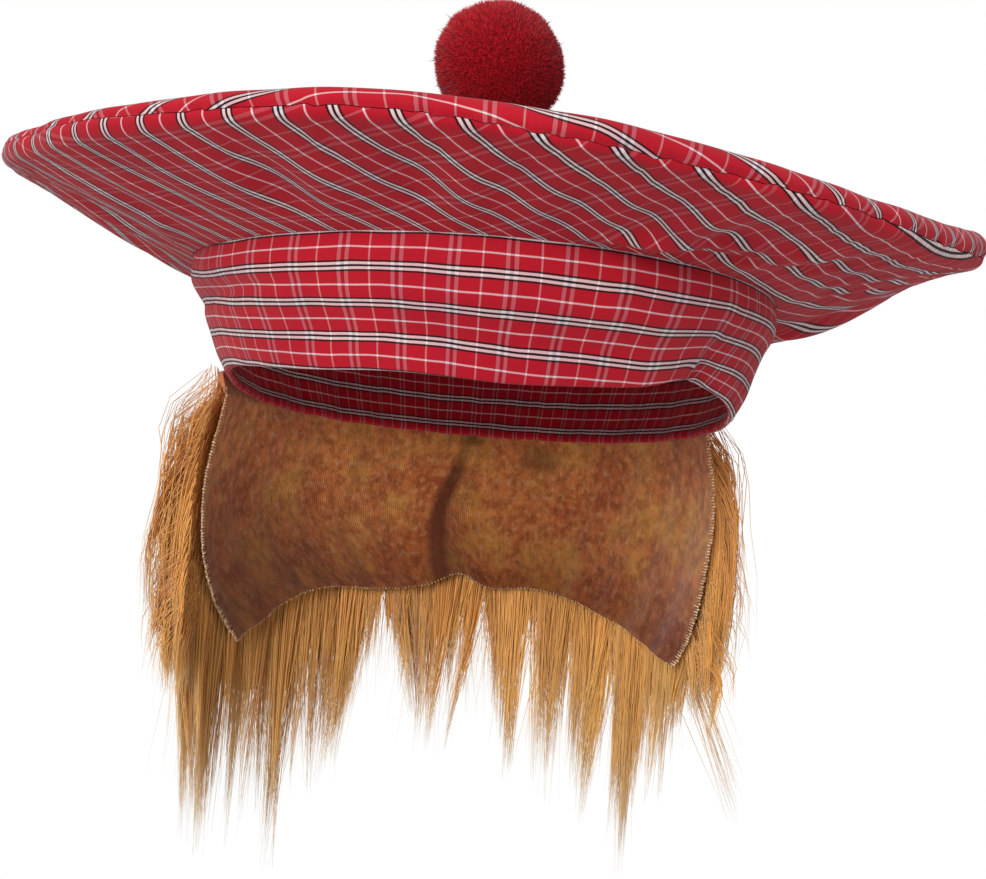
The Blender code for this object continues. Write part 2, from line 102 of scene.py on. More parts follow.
def read(rows, at, column, period=None):
    """The smooth curve through one column, read at an array of places."""
    xs = next(iter(rows.values()))
    ys = rows[column]
    if period:
        xs = np.concatenate([[xs[-1] - period], xs, [xs[0] + period, xs[1] + period]])
        ys = np.concatenate([[ys[-1]], ys, [ys[0], ys[1]]])
    last = len(xs) - 1
    low = np.maximum(np.arange(last + 1) - 1, 0)
    high = np.minimum(np.arange(last + 1) + 1, last)
    slope = (ys[high] - ys[low]) / (xs[high] - xs[low])
    at = np.clip(at, xs[0], xs[-1])
    i = np.clip(np.searchsorted(xs, at, side="right") - 1, 0, last - 1)
    step = xs[i + 1] - xs[i]
    t = (at - xs[i]) / step
    rise = ys[i + 1] - ys[i]
    start = slope[i] * step
    end = slope[i + 1] * step
    return ys[i] + t * (start + t * (3 * rise - 2 * start - end + t * (start + end - 2 * rise)))


def turned(angle):
    """The same angle between -180 and 180 degrees."""
    return (np.asarray(angle, float) + 180) % 360 - 180


def bell(distance, spread):
    return np.exp(-((distance / spread) ** 2))


def ease(value):
    """0 below 0, 1 above 1 and a soft step between."""
    value = np.clip(value, 0, 1)
    return value * value * (3 - 2 * value)


def outward(angle):
    """Level unit vectors that point out of the bonnet. 0 is the front and 90 is towards +X."""
    angle = np.radians(angle)
    return np.stack([np.sin(angle), -np.cos(angle), np.zeros_like(angle)], -1)


def ripple(angle, counts, seed):
    """A restless wave round the bonnet, between about -1 and 1, from a few waves of random phase."""
    phases = np.random.default_rng(seed).uniform(0, 2 * np.pi, len(counts))
    waves = [np.sin(np.radians(angle) * n + p) for n, p in zip(counts, phases)]
    return sum(waves) / math.sqrt(len(counts))


# %% [markdown]
# ## Turning a sheet of points into cloth
#
# Every cloth piece is a sheet with a real wall. The outer face is a grid of points, and the inner
# face is the same grid pushed back along its normals. The two are joined round their edges, which
# leaves one closed body. A map called cloth lays each point out in metres along the weave, so that
# the stripes keep their real width however the cloth is pulled.

# %% Helpers that build meshes from arrays
def grid_normals(points, wraps):
    """Unit normals of a grid of points. wraps says that its last column meets its first one."""
    if wraps:
        padded = np.concatenate([points[-1:], points, points[:1]])
        along = (padded[2:] - padded[:-2]) / 2
    else:
        along = np.gradient(points, axis=0)
    down = np.gradient(points, axis=1)
    normal = np.cross(down, along)
    return normal / np.maximum(np.linalg.norm(normal, axis=-1, keepdims=True), 1e-12)


def mesh_object(name, points, faces, maps, extra_faces=()):
    """An object from quads or triangles given as index arrays. maps holds a UV pair per corner."""
    mesh = bpy.data.meshes.new(name)
    extra_sizes = np.array([len(loop) for loop in extra_faces], int)
    sizes = np.concatenate([np.full(len(faces), faces.shape[1]), extra_sizes])
    corners = np.concatenate([faces.ravel(), *extra_faces])
    mesh.vertices.add(len(points))
    mesh.vertices.foreach_set("co", np.asarray(points, np.float32).ravel())
    mesh.loops.add(len(corners))
    mesh.loops.foreach_set("vertex_index", corners.astype(np.int32))
    mesh.polygons.add(len(sizes))
    starts = np.concatenate([[0], np.cumsum(sizes)[:-1]])
    mesh.polygons.foreach_set("loop_start", starts.astype(np.int32))
    mesh.update(calc_edges=True)
    for map_name, values in maps.items():
        layer = mesh.uv_layers.new(name=map_name)
        flat = np.zeros((len(corners), 2), np.float32)
        flat[: len(values)] = values
        layer.data.foreach_set("uv", flat.ravel())
    mesh.shade_smooth()
    piece = bpy.data.objects.new(name, mesh)
    bpy.context.scene.collection.objects.link(piece)
    return piece


def cloth_object(name, points, wall, weave, wraps, filled_middle=False):
    """A closed cloth body from a grid of outer points. weave has a (u, v) for each point, in
    metres, and one column more than the grid where it wraps."""
    count, rows = points.shape[:2]
    inner = points - grid_normals(points, wraps) * np.asarray(wall)[..., None]
    ring = np.concatenate([points, inner[:, ::-1]], axis=1)
    lay = np.concatenate([weave, weave[:, ::-1]], axis=1)
    around = ring.shape[1]
    spans = count if wraps else count - 1
    i, j = np.meshgrid(np.arange(spans), np.arange(around), indexing="ij")
    if filled_middle:
        i, j = i[:, :-1], j[:, :-1]
    i, j = i.ravel(), j.ravel()
    i_next, j_next = i + 1, (j + 1) % around
    wrapped = i_next % count
    faces = np.stack([i * around + j, i * around + j_next, wrapped * around + j_next,
                      wrapped * around + j], 1)
    corners = np.stack([lay[i, j], lay[i, j_next], lay[i_next, j_next], lay[i_next, j]], 1)
    extra = []
    if filled_middle:
        first = np.arange(count) * around
        extra = [first, (first + around - 1)[::-1]]
    if not wraps:
        extra = [np.arange(around)[::-1], (count - 1) * around + np.arange(around)]
    piece = mesh_object(name, ring.reshape(-1, 3), faces, {"cloth": corners.reshape(-1, 2)}, extra)
    piece.data.set_sharp_from_angle(angle=math.radians(70))
    print(f"{name}: {2 * len(faces)} triangles")
    return piece


# %% [markdown]
# ## Helpers for materials
#
# Colours are written as an eye reads them from a screen, from 0 to 255, and are turned into the
# light values that Blender mixes. A small function adds a node and fills its sockets, which keeps a
# long network readable.

# %% Helpers that build node networks
def seen(red, green, blue):
    """A screen colour as linear light, with full opacity."""
    values = [channel / 255 for channel in (red, green, blue)]
    light = [v / 12.92 if v <= 0.04045 else ((v + 0.055) / 1.055) ** 2.4 for v in values]
    return (*light, 1.0)


def new_material(name, roughness, sheen=0.0, sheen_roughness=0.5, specular=0.3):
    material = bpy.data.materials.new(name)
    material.use_nodes = True
    shader = material.node_tree.nodes["Principled BSDF"]
    shader.inputs["Roughness"].default_value = roughness
    shader.inputs["Sheen Weight"].default_value = sheen
    shader.inputs["Sheen Roughness"].default_value = sheen_roughness
    shader.inputs["Specular IOR Level"].default_value = specular
    print("material", name)
    return material, material.node_tree, shader


def add(tree, kind, values, **settings):
    """Adds a node. values fills its inputs with numbers, or with the outputs of other nodes."""
    made = tree.nodes.new("ShaderNode" + kind)
    for key, value in settings.items():
        setattr(made, key, value)
    for socket, value in values.items():
        if isinstance(value, bpy.types.NodeSocket):
            tree.links.new(value, made.inputs[socket])
        else:
            made.inputs[socket].default_value = value
    return made


def maths(tree, operation, *values):
    return add(tree, "Math", dict(enumerate(values)), operation=operation).outputs[0]


def blended(tree, share, first, second, way="MIX"):
    """The mix of two colours by a share."""
    made = tree.nodes.new("ShaderNodeMix")
    made.data_type = "RGBA"
    made.blend_type = way
    for socket, value in zip((0, 6, 7), (share, first, second)):
        if isinstance(value, bpy.types.NodeSocket):
            tree.links.new(value, made.inputs[socket])
        else:
            made.inputs[socket].default_value = value
    return made.outputs[2]


def ramp_node(tree, value, *stops):
    """A colour ramp through (place, colour) pairs, which gives a colour and an alpha."""
    made = add(tree, "ValToRGB", {"Fac": value})
    elements = made.color_ramp.elements
    while len(elements) < len(stops):
        elements.new(1.0)
    for element, (place, colour) in zip(elements, stops):
        element.position = place
        element.color = colour
    return made


def ramp(tree, value, *stops):
    return ramp_node(tree, value, *stops).outputs["Color"]


# %% [markdown]
# ## The tartan
#
# The cloth is a red twill with two sets of coloured threads. Each set has a double line, white,
# black and white again, with a thin black edge, and halfway to the next double a thin white single.
# The threads that run across lie mostly on top, so their lines are strong, and the ones that run the
# other way only show through, as pink lines. The real cloth is a mix of the two sets, so the
# material mixes two ramps in the same way, one ramp for each set. The strong ramp's alpha says how
# much of the mix it takes: black threads hide nearly all that crosses them, and white ones less.

# %% The thread colours and a ramp for one set of threads
RED = seen(190, 20, 40)
WHITE = seen(255, 244, 244)
PINK = seen(236, 188, 198)
BLACK = seen(12, 8, 12)
EDGE = seen(44, 8, 18)


def cover(colour, share):
    """A thread colour with the share of the mix that it takes."""
    return (*colour[:3], share)


def thread_ramp(tree, place, period, core, white, edge, single, ground, soft=0.00007):
    """One set of threads. core, white and edge are the (width, colour) pairs of a double, from its
    middle outwards, single is the same for the single line, and ground is a colour."""
    share = maths(tree, "FRACT", maths(tree, "ADD", maths(tree, "DIVIDE", place, period), 0.5))
    away = maths(tree, "ABSOLUTE", maths(tree, "SUBTRACT", share, 0.5))
    reach = maths(tree, "MULTIPLY", away, 2.0)
    half = period / 2
    open_ground = half - core[0] / 2 - white[0] - edge[0] - single[0] / 2
    bands = [(core[0] / 2, core[1]), white, edge, (open_ground, ground), (single[0] / 2, single[1])]
    stops = []
    end = 0.0
    for width, colour in bands:
        stops.append(((end + soft) / half, colour))
        end += width
        stops.append(((end - soft) / half, colour))
    return ramp_node(tree, reach, *stops)


# %% The tartan material
TWILL_PITCH = 0.00062


def tartan(name, strong_period, weak_period, red_share=0.80, white_share=0.58, weak_white=PINK,
           line=1.0):
    """Tartan cloth whose strong doubles lie at whole periods of v and weak ones at those of u."""
    material, tree, shader = new_material(name, roughness=0.78, sheen=0.08, specular=0.15)
    place = add(tree, "UVMap", {}, uv_map="cloth").outputs["UV"]
    waver = add(tree, "TexNoise", {"Vector": place, "Scale": 900.0, "Detail": 2.0}).outputs["Fac"]
    drift = add(tree, "TexNoise", {"Vector": place, "Scale": 60.0, "Detail": 1.0}).outputs["Fac"]
    shift = maths(tree, "ADD", maths(tree, "MULTIPLY", waver, 0.00010),
                  maths(tree, "MULTIPLY", drift, 0.0009))
    split = add(tree, "SeparateXYZ", {"Vector": place})
    u = maths(tree, "ADD", split.outputs["X"], shift)
    v = maths(tree, "ADD", split.outputs["Y"], shift)
    weak = thread_ramp(tree, u, weak_period, core=(0.0011, EDGE), white=(0.0011, weak_white),
                       edge=(0.0003, EDGE), single=(0.0005, WHITE), ground=RED)
    strong = thread_ramp(tree, v, strong_period, core=(0.00060 * line, cover(BLACK, 0.97)),
                         white=(0.00066 * line, cover(WHITE, white_share)),
                         edge=(0.00052 * line, cover(BLACK, 0.93)),
                         single=(0.00042 * line, cover(WHITE, white_share * 0.85)),
                         ground=cover(RED, red_share))
    cloth = blended(tree, strong.outputs["Alpha"], weak.outputs["Color"], strong.outputs["Color"])
    patches = add(tree, "TexNoise", {"Vector": place, "Scale": 28.0, "Detail": 3.0}).outputs["Fac"]
    tint = ramp(tree, patches, (0.3, seen(236, 226, 236)), (0.7, seen(255, 255, 250)))
    cloth = blended(tree, 1.0, cloth, tint, way="MULTIPLY")
    tree.links.new(cloth, shader.inputs["Base Color"])
    slant = maths(tree, "ADD", split.outputs["X"], split.outputs["Y"])
    rib = maths(tree, "SINE", maths(tree, "MULTIPLY", slant, 2 * math.pi / TWILL_PITCH))
    grain = maths(tree, "ADD", maths(tree, "MULTIPLY", rib, 0.25), waver)
    bump = add(tree, "Bump", {"Height": grain, "Strength": 0.35, "Distance": 0.00025})
    tree.links.new(bump.outputs["Normal"], shader.inputs["Normal"])
    return material


# %% [markdown]
# ## The rim and the crown's top panel
#
# The crown is a round panel of foam-backed cloth. It is pushed up in the middle and its edge turns
# over in a soft roll, round to the seam. The rim isn't level: it dips at the front right and rises
# at the left side. The seam isn't level either: it wanders up and down the roll. Two tables say
# where they run. The seam pinches the cloth, so the roll gets a shallow groove with small puckers.
# The roll is fullest at the right.

# %% The sizes of the crown and its rim
CROWN_RADIUS = 0.150
CROWN_SHIFT_X = 0.0035
RIM_HEIGHT = 0.058
APEX_HEIGHT = 0.088
ROLL_RADIUS = 0.0042
ROLL_START, ROLL_END = 80, -74
TOP_WALL = 0.0022
CLEARANCE = 0.0003

RIM = table(
    "angle lift inset",
    (-180, 0.00, 0.000), (-135, 0.06, 0.000), (-95, 0.14, -0.006), (-62, -0.01, 0.004),
    (-40, -0.045, 0.000), (-15, -0.030, 0.000), (6, -0.085, 0.000), (24, -0.160, 0.006),
    (42, -0.205, 0.025), (62, -0.165, 0.035), (90, 0.030, 0.046), (110, 0.07, 0.018),
    (140, 0.03, 0.000),
)
DOME = table(
    "out drop",
    (0.0, 0.0), (0.12, 0.025), (0.30, 0.170), (0.50, 0.430), (0.70, 0.700), (0.88, 0.905),
    (1.0, 1.0),
)
SEAM = table(
    "angle roll drawn",
    (-180, -60, 0.0), (-90, 15, 0.0), (-60, 24, 0.0), (-46, 19, 0.05), (-37, 3, -0.06),
    (-28, -9, 0.08), (-16, -12, 0.20), (-4, -22, 0.02), (5, -35, -0.16), (13, -38, -0.14),
    (22, -28, 0.02), (31, -17, 0.18), (39, -10, 0.08), (47, -20, -0.03), (57, -20, -0.28),
    (90, -25, 0.0), (140, -60, 0.0),
)


def rim_height(angle):
    return RIM_HEIGHT * (1 + read(RIM, turned(angle), "lift", 360))


def rim_radius(angle):
    return CROWN_RADIUS * (1 - read(RIM, turned(angle), "inset", 360)) - ROLL_RADIUS


def roll_thickness(angle):
    """The roll's own radius. It is fullest at the right."""
    return ROLL_RADIUS * (1 + 0.45 * bell(turned(angle - 80), 30))


def on_crown(angle, radius, height):
    points = outward(angle) * radius[..., None]
    points[..., 0] += CROWN_SHIFT_X
    points[..., 2] = height
    return points


four_sides = np.array([-90, 0, 90, 180])
print("rim heights at the left, front, right and back:", rim_height(four_sides).round(4))

# %% Build the top panel
TOP_COLUMNS = 480
DOME_RINGS = 22
ROLL_RINGS = 16
SEAM_DEPTH = 0.00055
SEAM_SPREAD = 16
SEAM_WANDER = 3.5
LUMP_HEIGHT = 0.0004
SWELL_HEIGHT = 0.0005
DOME_MIDDLE, DOME_EDGE = 0.02, 0.985
TOP_STRONG_PERIOD = 0.0133
TOP_WEAK_PERIOD = 0.01665
STRONG_TURN, WEAK_TURN = 6.5, -1.3
STRONG_OFFSET, WEAK_OFFSET = 11.07, 3.41


def puckers(angle):
    return ripple(angle, (71, 97, 128, 163), seed=3)


def seam_turn(angle):
    """Where the seam lies on the roll, in degrees down from its outermost line."""
    return read(SEAM, turned(angle), "roll", 360) + SEAM_WANDER * puckers(angle)


def roll_lumps(angle):
    """The small unevenness of the roll's outline."""
    return LUMP_HEIGHT * ripple(angle, (13, 19, 29, 41), seed=5)


def on_roll(angle, turn):
    """Points of the rolled edge. turn is 90 at the top of the roll and 0 at its outermost line."""
    from_seam = turn - seam_turn(angle)
    pinch = SEAM_DEPTH * bell(from_seam, SEAM_SPREAD) * (1 + 0.5 * puckers(angle))
    thick = roll_thickness(angle) - pinch
    radius = rim_radius(angle) + roll_lumps(angle) + thick * np.cos(np.radians(turn))
    return on_crown(angle, radius, rim_height(angle) + thick * np.sin(np.radians(turn)))


def top_panel_points(angle):
    """The outer face of the top panel, a column of points for each angle."""
    radius = rim_radius(angle) + roll_lumps(angle)
    fall = APEX_HEIGHT - (rim_height(angle) + roll_thickness(angle))
    rows = []
    for out in np.linspace(DOME_MIDDLE, DOME_EDGE, DOME_RINGS):
        drop = read(DOME, out, "drop")
        swell = SWELL_HEIGHT * ripple(angle, (5, 9, 14), seed=8) * out * (1 - out) * 4
        rows.append(on_crown(angle, radius * out, APEX_HEIGHT - fall * drop + swell))
    for share in np.linspace(0, 1, ROLL_RINGS):
        rows.append(on_roll(angle, ROLL_START + (seam_turn(angle) - ROLL_START) * share))
    return np.stack(rows, 1)


def lay_flat(points, angle):
    """Flat cloth coordinates of columns of points, from the length down each column."""
    steps = np.linalg.norm(np.diff(points, axis=1), axis=-1)
    start = np.linalg.norm(points[:, :1, :2] - np.array([CROWN_SHIFT_X, 0]), axis=-1)
    length = np.concatenate([start, start + np.cumsum(steps, 1)], 1)
    return outward(angle)[:, None, :2] * length[..., None]


def top_weave(points, angle):
    """Where each point lies along both sets of threads. The seam draws the cloth a little."""
    flat = lay_flat(points, angle)
    strong_way = np.radians(STRONG_TURN)
    weak_way = np.radians(WEAK_TURN)
    strong = flat @ np.array([np.sin(strong_way), np.cos(strong_way)])
    weak = flat @ np.array([np.cos(weak_way), -np.sin(weak_way)])
    near_rim = np.linalg.norm(flat, axis=-1) / CROWN_RADIUS
    drawn = read(SEAM, turned(angle), "drawn", 360)[:, None] * near_rim**4
    weave = np.stack([weak + WEAK_OFFSET * TOP_WEAK_PERIOD,
                      strong + (STRONG_OFFSET - drawn) * TOP_STRONG_PERIOD], -1)
    return np.concatenate([weave, weave[:1]])


top_angles = np.arange(TOP_COLUMNS) * 360 / TOP_COLUMNS
top_points = top_panel_points(top_angles)
crown_top = cloth_object("crown_top_cloth", top_points, TOP_WALL, top_weave(top_points, top_angles),
                         True, True)
crown_top.data.materials.append(tartan("tartan_of_the_top", TOP_STRONG_PERIOD, TOP_WEAK_PERIOD))

# %% [markdown]
# ## The underside
#
# From the seam a ring of the same cloth goes down round the rest of the roll and slopes in to the
# band. It was cut flat and stretched over the slope, so its stripes sweep round in long curves. The
# curves can't come from a flat map. They come from a map that turns further the nearer it gets to
# the band, as the real cloth was twisted when it was sewn. On the roll itself there is no twist, so
# the stripes bend there like hooks. The ring sags at the back and has folds at the right, and its
# seam to the band rises at the left.

# %% The sizes of the band, which the underside meets
BAND_HEIGHT = 0.036
BAND_HALF_WIDTH = 0.0885
BAND_HALF_DEPTH = 0.100
BAND_TAPER = 0.0120
FOLD_HEIGHT = 0.0032
SEAM_RISE = 0.0032

SAGS = table("angle spread depth", (120, 24, 0.160), (180, 40, 0.050), (-122, 28, 0.065))
FOLDS = table(
    "start end reach width height",
    (13, 44, 0.60, 0.15, 1.0), (24, 56, 0.45, 0.12, -0.6), (-74, -60, 0.35, 0.12, 0.5),
    (104, 100, 0.80, 0.14, 0.9), (122, 114, 0.85, 0.14, -0.9), (140, 133, 0.75, 0.14, 0.8),
    (-140, -133, 0.70, 0.15, 0.7),
)


def seam_height(angle):
    """The height of the seam between the underside and the band. It rises at the left side."""
    return BAND_HEIGHT + SEAM_RISE * bell(turned(angle + 90), 22)


def rows_of(rows):
    """Each row of a table as a tuple."""
    return list(zip(*rows.values()))


def fold_offset(angle, share):
    """How far the folds push the underside down. share is 0 at the band and 1 at the rim."""
    total = 0.0
    for start, end, reach, width, height in rows_of(FOLDS):
        line = start + (end - start) * np.minimum(share / reach, 1.0)
        side = np.radians(turned(angle - line)) * (BAND_HALF_WIDTH + CROWN_RADIUS) / 2
        breadth = width * (CROWN_RADIUS - BAND_HALF_WIDTH)
        fade = np.sqrt(np.maximum(0.0, 1 - share / reach))
        total = total + FOLD_HEIGHT * height * bell(side, breadth) * fade
    return total


print("seam heights at the left, front, right and back:", seam_height(four_sides).round(4))

# %% Build the underside
UNDER_COLUMNS = 480
UNDER_RINGS = 38
UNDER_ROLL_RINGS = 8
SEAM_GAP = 3.0
UNDER_WALL = 0.0014
UNDER_PUCKER = 0.0007
UNDER_WAVE = 0.0010
UNDER_STRONG_PERIOD = 0.01387
UNDER_WEAK_PERIOD = 0.0153
PULL_IN = 0.050
PULL_SLOPE, PULL_CURVE = 1.076, 0.028
TWIST_SLOPE, TWIST_CURVE = -1.473, -9.105
WEAVE_TURN = -36.7
STRONG_START, WEAK_START = 4.962, -0.1016


def underside_points(angle, share):
    """The lower face of the underside for a column of angles and a row of shares."""
    way = outward(angle)
    inner = way * np.array([BAND_HALF_WIDTH + CLEARANCE, BAND_HALF_DEPTH + CLEARANCE, 0.0])
    inner[..., 2] = seam_height(angle)
    outer = on_roll(angle, ROLL_END + 0 * angle)
    points = inner[:, None] + (outer - inner)[:, None] * share[None, :, None]
    angle, share = angle[:, None], share[None, :]
    sag = sum(depth * bell(turned(angle - at), spread) for at, spread, depth in rows_of(SAGS))
    points[..., 2] -= RIM_HEIGHT * sag * np.sin(np.pi * share**0.7)
    points[..., 2] -= fold_offset(angle, share) * ease((share - 0.03) / 0.20)
    gathered = ease((share - 0.62) / 0.38) * np.sqrt(np.maximum(0, 1 - share))
    points[..., 2] -= UNDER_PUCKER * puckers(angle) * gathered
    points[..., 2] -= UNDER_WAVE * ripple(angle, (17, 23, 37), seed=11) * np.sin(np.pi * share) ** 2
    return points


def under_roll(angle):
    """Points and arc lengths of the underside's stretch on the roll, from the slope to the seam."""
    part = np.linspace(0, 1, UNDER_ROLL_RINGS + 1)[1:]
    turn = ROLL_END + (seam_turn(angle)[:, None] - SEAM_GAP - ROLL_END) * part[None, :]
    points = np.stack([on_roll(angle, turn[:, k]) for k in range(UNDER_ROLL_RINGS)], 1)
    return points, ROLL_RADIUS * np.radians(turn - ROLL_END)


def underside_weave(angle, share, beyond):
    """Where each point lay in the flat cloth, in metres along both sets of threads. share is 1 at
    the roll, and beyond is the length past that."""
    left = 1 - share
    radius = CROWN_RADIUS - PULL_IN * (PULL_SLOPE * left + PULL_CURVE * left**2) + beyond
    turn = np.radians(angle[:, None] + TWIST_SLOPE * left + TWIST_CURVE * left**2)
    x, y = radius * np.sin(turn), -radius * np.cos(turn)
    grain = math.radians(WEAVE_TURN)
    strong = x * math.cos(grain) + y * math.sin(grain) + STRONG_START * UNDER_STRONG_PERIOD
    weak = -x * math.sin(grain) + y * math.cos(grain) - WEAK_START
    return np.stack([weak, strong], -1)


under_shares = np.linspace(0, 1, UNDER_RINGS) ** 0.9
under_angles = np.arange(UNDER_COLUMNS) * 360 / UNDER_COLUMNS
roll_points, roll_arcs = under_roll(under_angles)
slope_points = underside_points(under_angles, under_shares)
under_points = np.concatenate([slope_points, roll_points], 1)[:, ::-1]
beyond = np.concatenate([np.zeros((UNDER_COLUMNS, UNDER_RINGS)), roll_arcs], 1)
all_shares = np.concatenate([under_shares, np.ones(UNDER_ROLL_RINGS)])[None, :]
under_weave = underside_weave(under_angles, all_shares, beyond)[:, ::-1]
under_weave = np.concatenate([under_weave, under_weave[:1]])
underside = cloth_object("crown_underside_cloth", under_points, UNDER_WALL, under_weave, True)
underside.data.materials.append(
    tartan("tartan_of_the_underside", UNDER_STRONG_PERIOD, UNDER_WEAK_PERIOD, red_share=0.90,
           white_share=0.66, line=1.15))

# %% [markdown]
# ## The headband
#
# The band is a tall strip of cloth, doubled over at its lower edge, with its raw edges hidden in the
# seam above. So it is built as cloth too: one sheet that goes down the outside, round the fold and
# up the inside, with a thin space between its two plies. The front sinks in the middle and bulges
# near its edge. The left side has a dent, and the lines of the weave are drawn up towards the raised
# seam there. The lower right corner turns in behind the front, and elastic gathers the back.

# %% The band's profile, edge and dents
BAND_THICKNESS = 0.0022
BAND_PLY = 0.0007
SEAM_ALLOWANCE = 0.0040
GATHER_DEPTH = 0.0016
GATHERS, GATHER_ARC, GATHER_SPREAD = 10, 150, 62
CORNER_ANGLE, CORNER_TUCK = 50, 0.0045

BAND_SIDE = table(
    "height inset",
    (0.0, 1.02), (0.04, 0.98), (0.20, 0.74), (0.42, 0.50), (0.60, 0.27), (0.80, -0.03), (1.0, 0.0),
)
BAND_FRONT = table(
    "height inset",
    (0.0, 1.04), (0.05, 0.92), (0.16, 0.83), (0.27, 0.80), (0.36, 0.60), (0.48, 0.28),
    (0.58, 0.08), (0.80, -0.02), (1.0, 0.0),
)
LOWER_EDGE = table(
    "angle lift",
    (-180, -0.045), (-140, -0.03), (-110, 0.02), (-84, 0.12), (-65, 0.12), (-38, 0.04),
    (-15, 0.03), (5, -0.01), (17, 0.012), (34, 0.08), (41, 0.14), (47, 0.21), (53, 0.255),
    (59, 0.23), (66, 0.185), (73, 0.14), (80, 0.09), (90, 0.04), (110, -0.02), (140, -0.055),
)
DENTS = table(
    "angle spread height breadth depth",
    (-66, 21, 0.66, 0.10, 0.0034), (-44, 9, 0.72, 0.05, -0.0010), (30, 30, 0.62, 0.06, 0.0004),
    (84, 22, 0.10, 0.45, -0.0020))


def band_profile(angle, share):
    """How far the outer face lies in from the top seam."""
    facing = bell(turned(angle), 62) ** 2
    side = read(BAND_SIDE, share, "inset")
    front = read(BAND_FRONT, share, "inset")
    return BAND_TAPER * (side + (front - side) * facing)


def band_face(angle, share, deeper=0.0):
    """Points of the band at arrays of angles and heights, moved in by deeper."""
    inset = band_profile(angle, share) + deeper
    past = turned(angle) - CORNER_ANGLE
    tuck = np.where(past < 0, 0.0, np.clip(past / 4, 0, 1) * bell(past, 14))
    inset = inset + CORNER_TUCK * tuck * np.maximum(0.0, 1 - share / 0.6)
    from_back = turned(angle - 180)
    wave = np.cos(np.radians(from_back * 360 * GATHERS / GATHER_ARC)) * bell(from_back, GATHER_SPREAD)
    small = 0.35 * ripple(angle, (61, 83, 107), seed=21) * bell(from_back, GATHER_SPREAD)
    inset = inset + GATHER_DEPTH * (wave + small) * (1 - np.minimum(share, 1))
    for at, spread, height, breadth, depth in rows_of(DENTS):
        inset = inset + depth * bell(turned(angle - at), spread) * bell(share - height, breadth)
    lift = read(LOWER_EDGE, turned(angle), "lift", 360)
    height = BAND_HEIGHT * (share + lift * np.maximum(0.0, 1 - share / 0.7))
    height = height + (seam_height(angle) - BAND_HEIGHT) * np.minimum(share, 1)
    way = outward(angle)
    return np.stack([(BAND_HALF_WIDTH - inset) * way[..., 0],
                     (BAND_HALF_DEPTH - inset) * way[..., 1], height + 0 * inset], -1)


# %% Build the band
BAND_COLUMNS = 440
FACE_ROWS = 30
FOLD_ROWS = 7
BAND_STRONG_PERIOD = 0.0099
BAND_WEAK_PERIOD = 0.0150

LINE_AT_SEAM = 0.0384
DRAWN_UP = 0.0060
DRAWN_ANGLE, DRAWN_SPREAD = -91, 19
TUCK_START = 0.72
LINES = table(
    "angle weak outer tucked inner",
    (-180, -22.2, -0.0010, 0, 0.0046), (-105, -10.4, -0.0032, 0, 0.0046),
    (-75, -7.1, -0.0032, 0, 0.0044), (-55.6, -5, -0.0016, 0, 0.0040),
    (-34, -3, -0.0005, 0, 0.0030), (-14, -1, 0.0001, 0, 0.0020), (5.2, 1, 0.0010, 0, 0.0014),
    (25.6, 3, 0.0022, 0, 0.0010), (37.5, 4, 0.0030, 0, 0.0010), (47, 4.7, 0.0026, 0.0014, 0.0010),
    (51.2, 5, 0.0022, 0.0030, 0.0010), (55.5, 5.4, 0.0016, -0.0028, 0.0010),
    (62, 6.1, 0.0004, -0.0014, 0.0020), (75, 7.5, -0.0012, 0, 0.0030),
    (105, 10.8, -0.0020, 0, 0.0046), (180, 22.6, -0.0010, 0, 0.0046),
)

band_angles = -180 + np.arange(BAND_COLUMNS) * 360 / BAND_COLUMNS
shares = np.linspace(1.0, 0.035, FACE_ROWS)
outer_face = band_face(band_angles[:, None], shares[None, :])
inner_face = band_face(band_angles[:, None], shares[None, ::-1], deeper=BAND_THICKNESS)
turns = np.linspace(0, np.pi, FOLD_ROWS + 2)[1:-1]
middle = (outer_face[:, -1] + inner_face[:, 0]) / 2
half = (outer_face[:, -1] - inner_face[:, 0]) / 2
drop = np.array([0, 0, -BAND_THICKNESS / 2])
fold = (middle[:, None] + half[:, None] * np.cos(turns)[None, :, None]
        + drop * np.sin(turns)[None, :, None])
top_out = outer_face[:, :1] + np.array([0, 0, SEAM_ALLOWANCE])
top_in = inner_face[:, -1:] + np.array([0, 0, SEAM_ALLOWANCE])
band_points = np.concatenate([top_out, outer_face, fold, inner_face, top_in], 1)
print("the band's strip has", band_points.shape[0], "columns of", band_points.shape[1], "points")

# %% Lay out the band's weave and build it
def band_weave(points, angles):
    """The place along the strip, counted in weak lines, and the height, from the seam's line down
    to the edge's line outside and up from the edge's line inside."""
    closed = np.concatenate([points, points[:1]])
    steps = np.linalg.norm(np.diff(closed, axis=1), axis=-1)
    down = np.concatenate([np.zeros((len(closed), 1)), np.cumsum(steps, 1)], 1) - SEAM_ALLOWANCE
    edge = 1 + FACE_ROWS + FOLD_ROWS // 2
    at_edge = down[:, edge:edge + 1]
    angles = np.append(angles, 180)[:, None]
    share = down / at_edge
    tucked = read(LINES, angles, "tucked") * ease((share - TUCK_START) / (1 - TUCK_START))
    at_seam = LINE_AT_SEAM - DRAWN_UP * bell(angles - DRAWN_ANGLE, DRAWN_SPREAD)
    outside = at_seam + (read(LINES, angles, "outer") - at_seam) * share + tucked
    inside = read(LINES, angles, "inner") + down - at_edge
    v = np.where(np.arange(points.shape[1])[None, :] > edge, inside, outside)
    u = BAND_WEAK_PERIOD * read(LINES, angles, "weak")
    return np.stack([np.broadcast_to(u, v.shape), v], -1)


headband = cloth_object("headband_cloth", band_points, BAND_PLY,
                        band_weave(band_points, band_angles), True)
headband.data.materials.append(tartan("tartan_of_the_band", BAND_STRONG_PERIOD, BAND_WEAK_PERIOD))

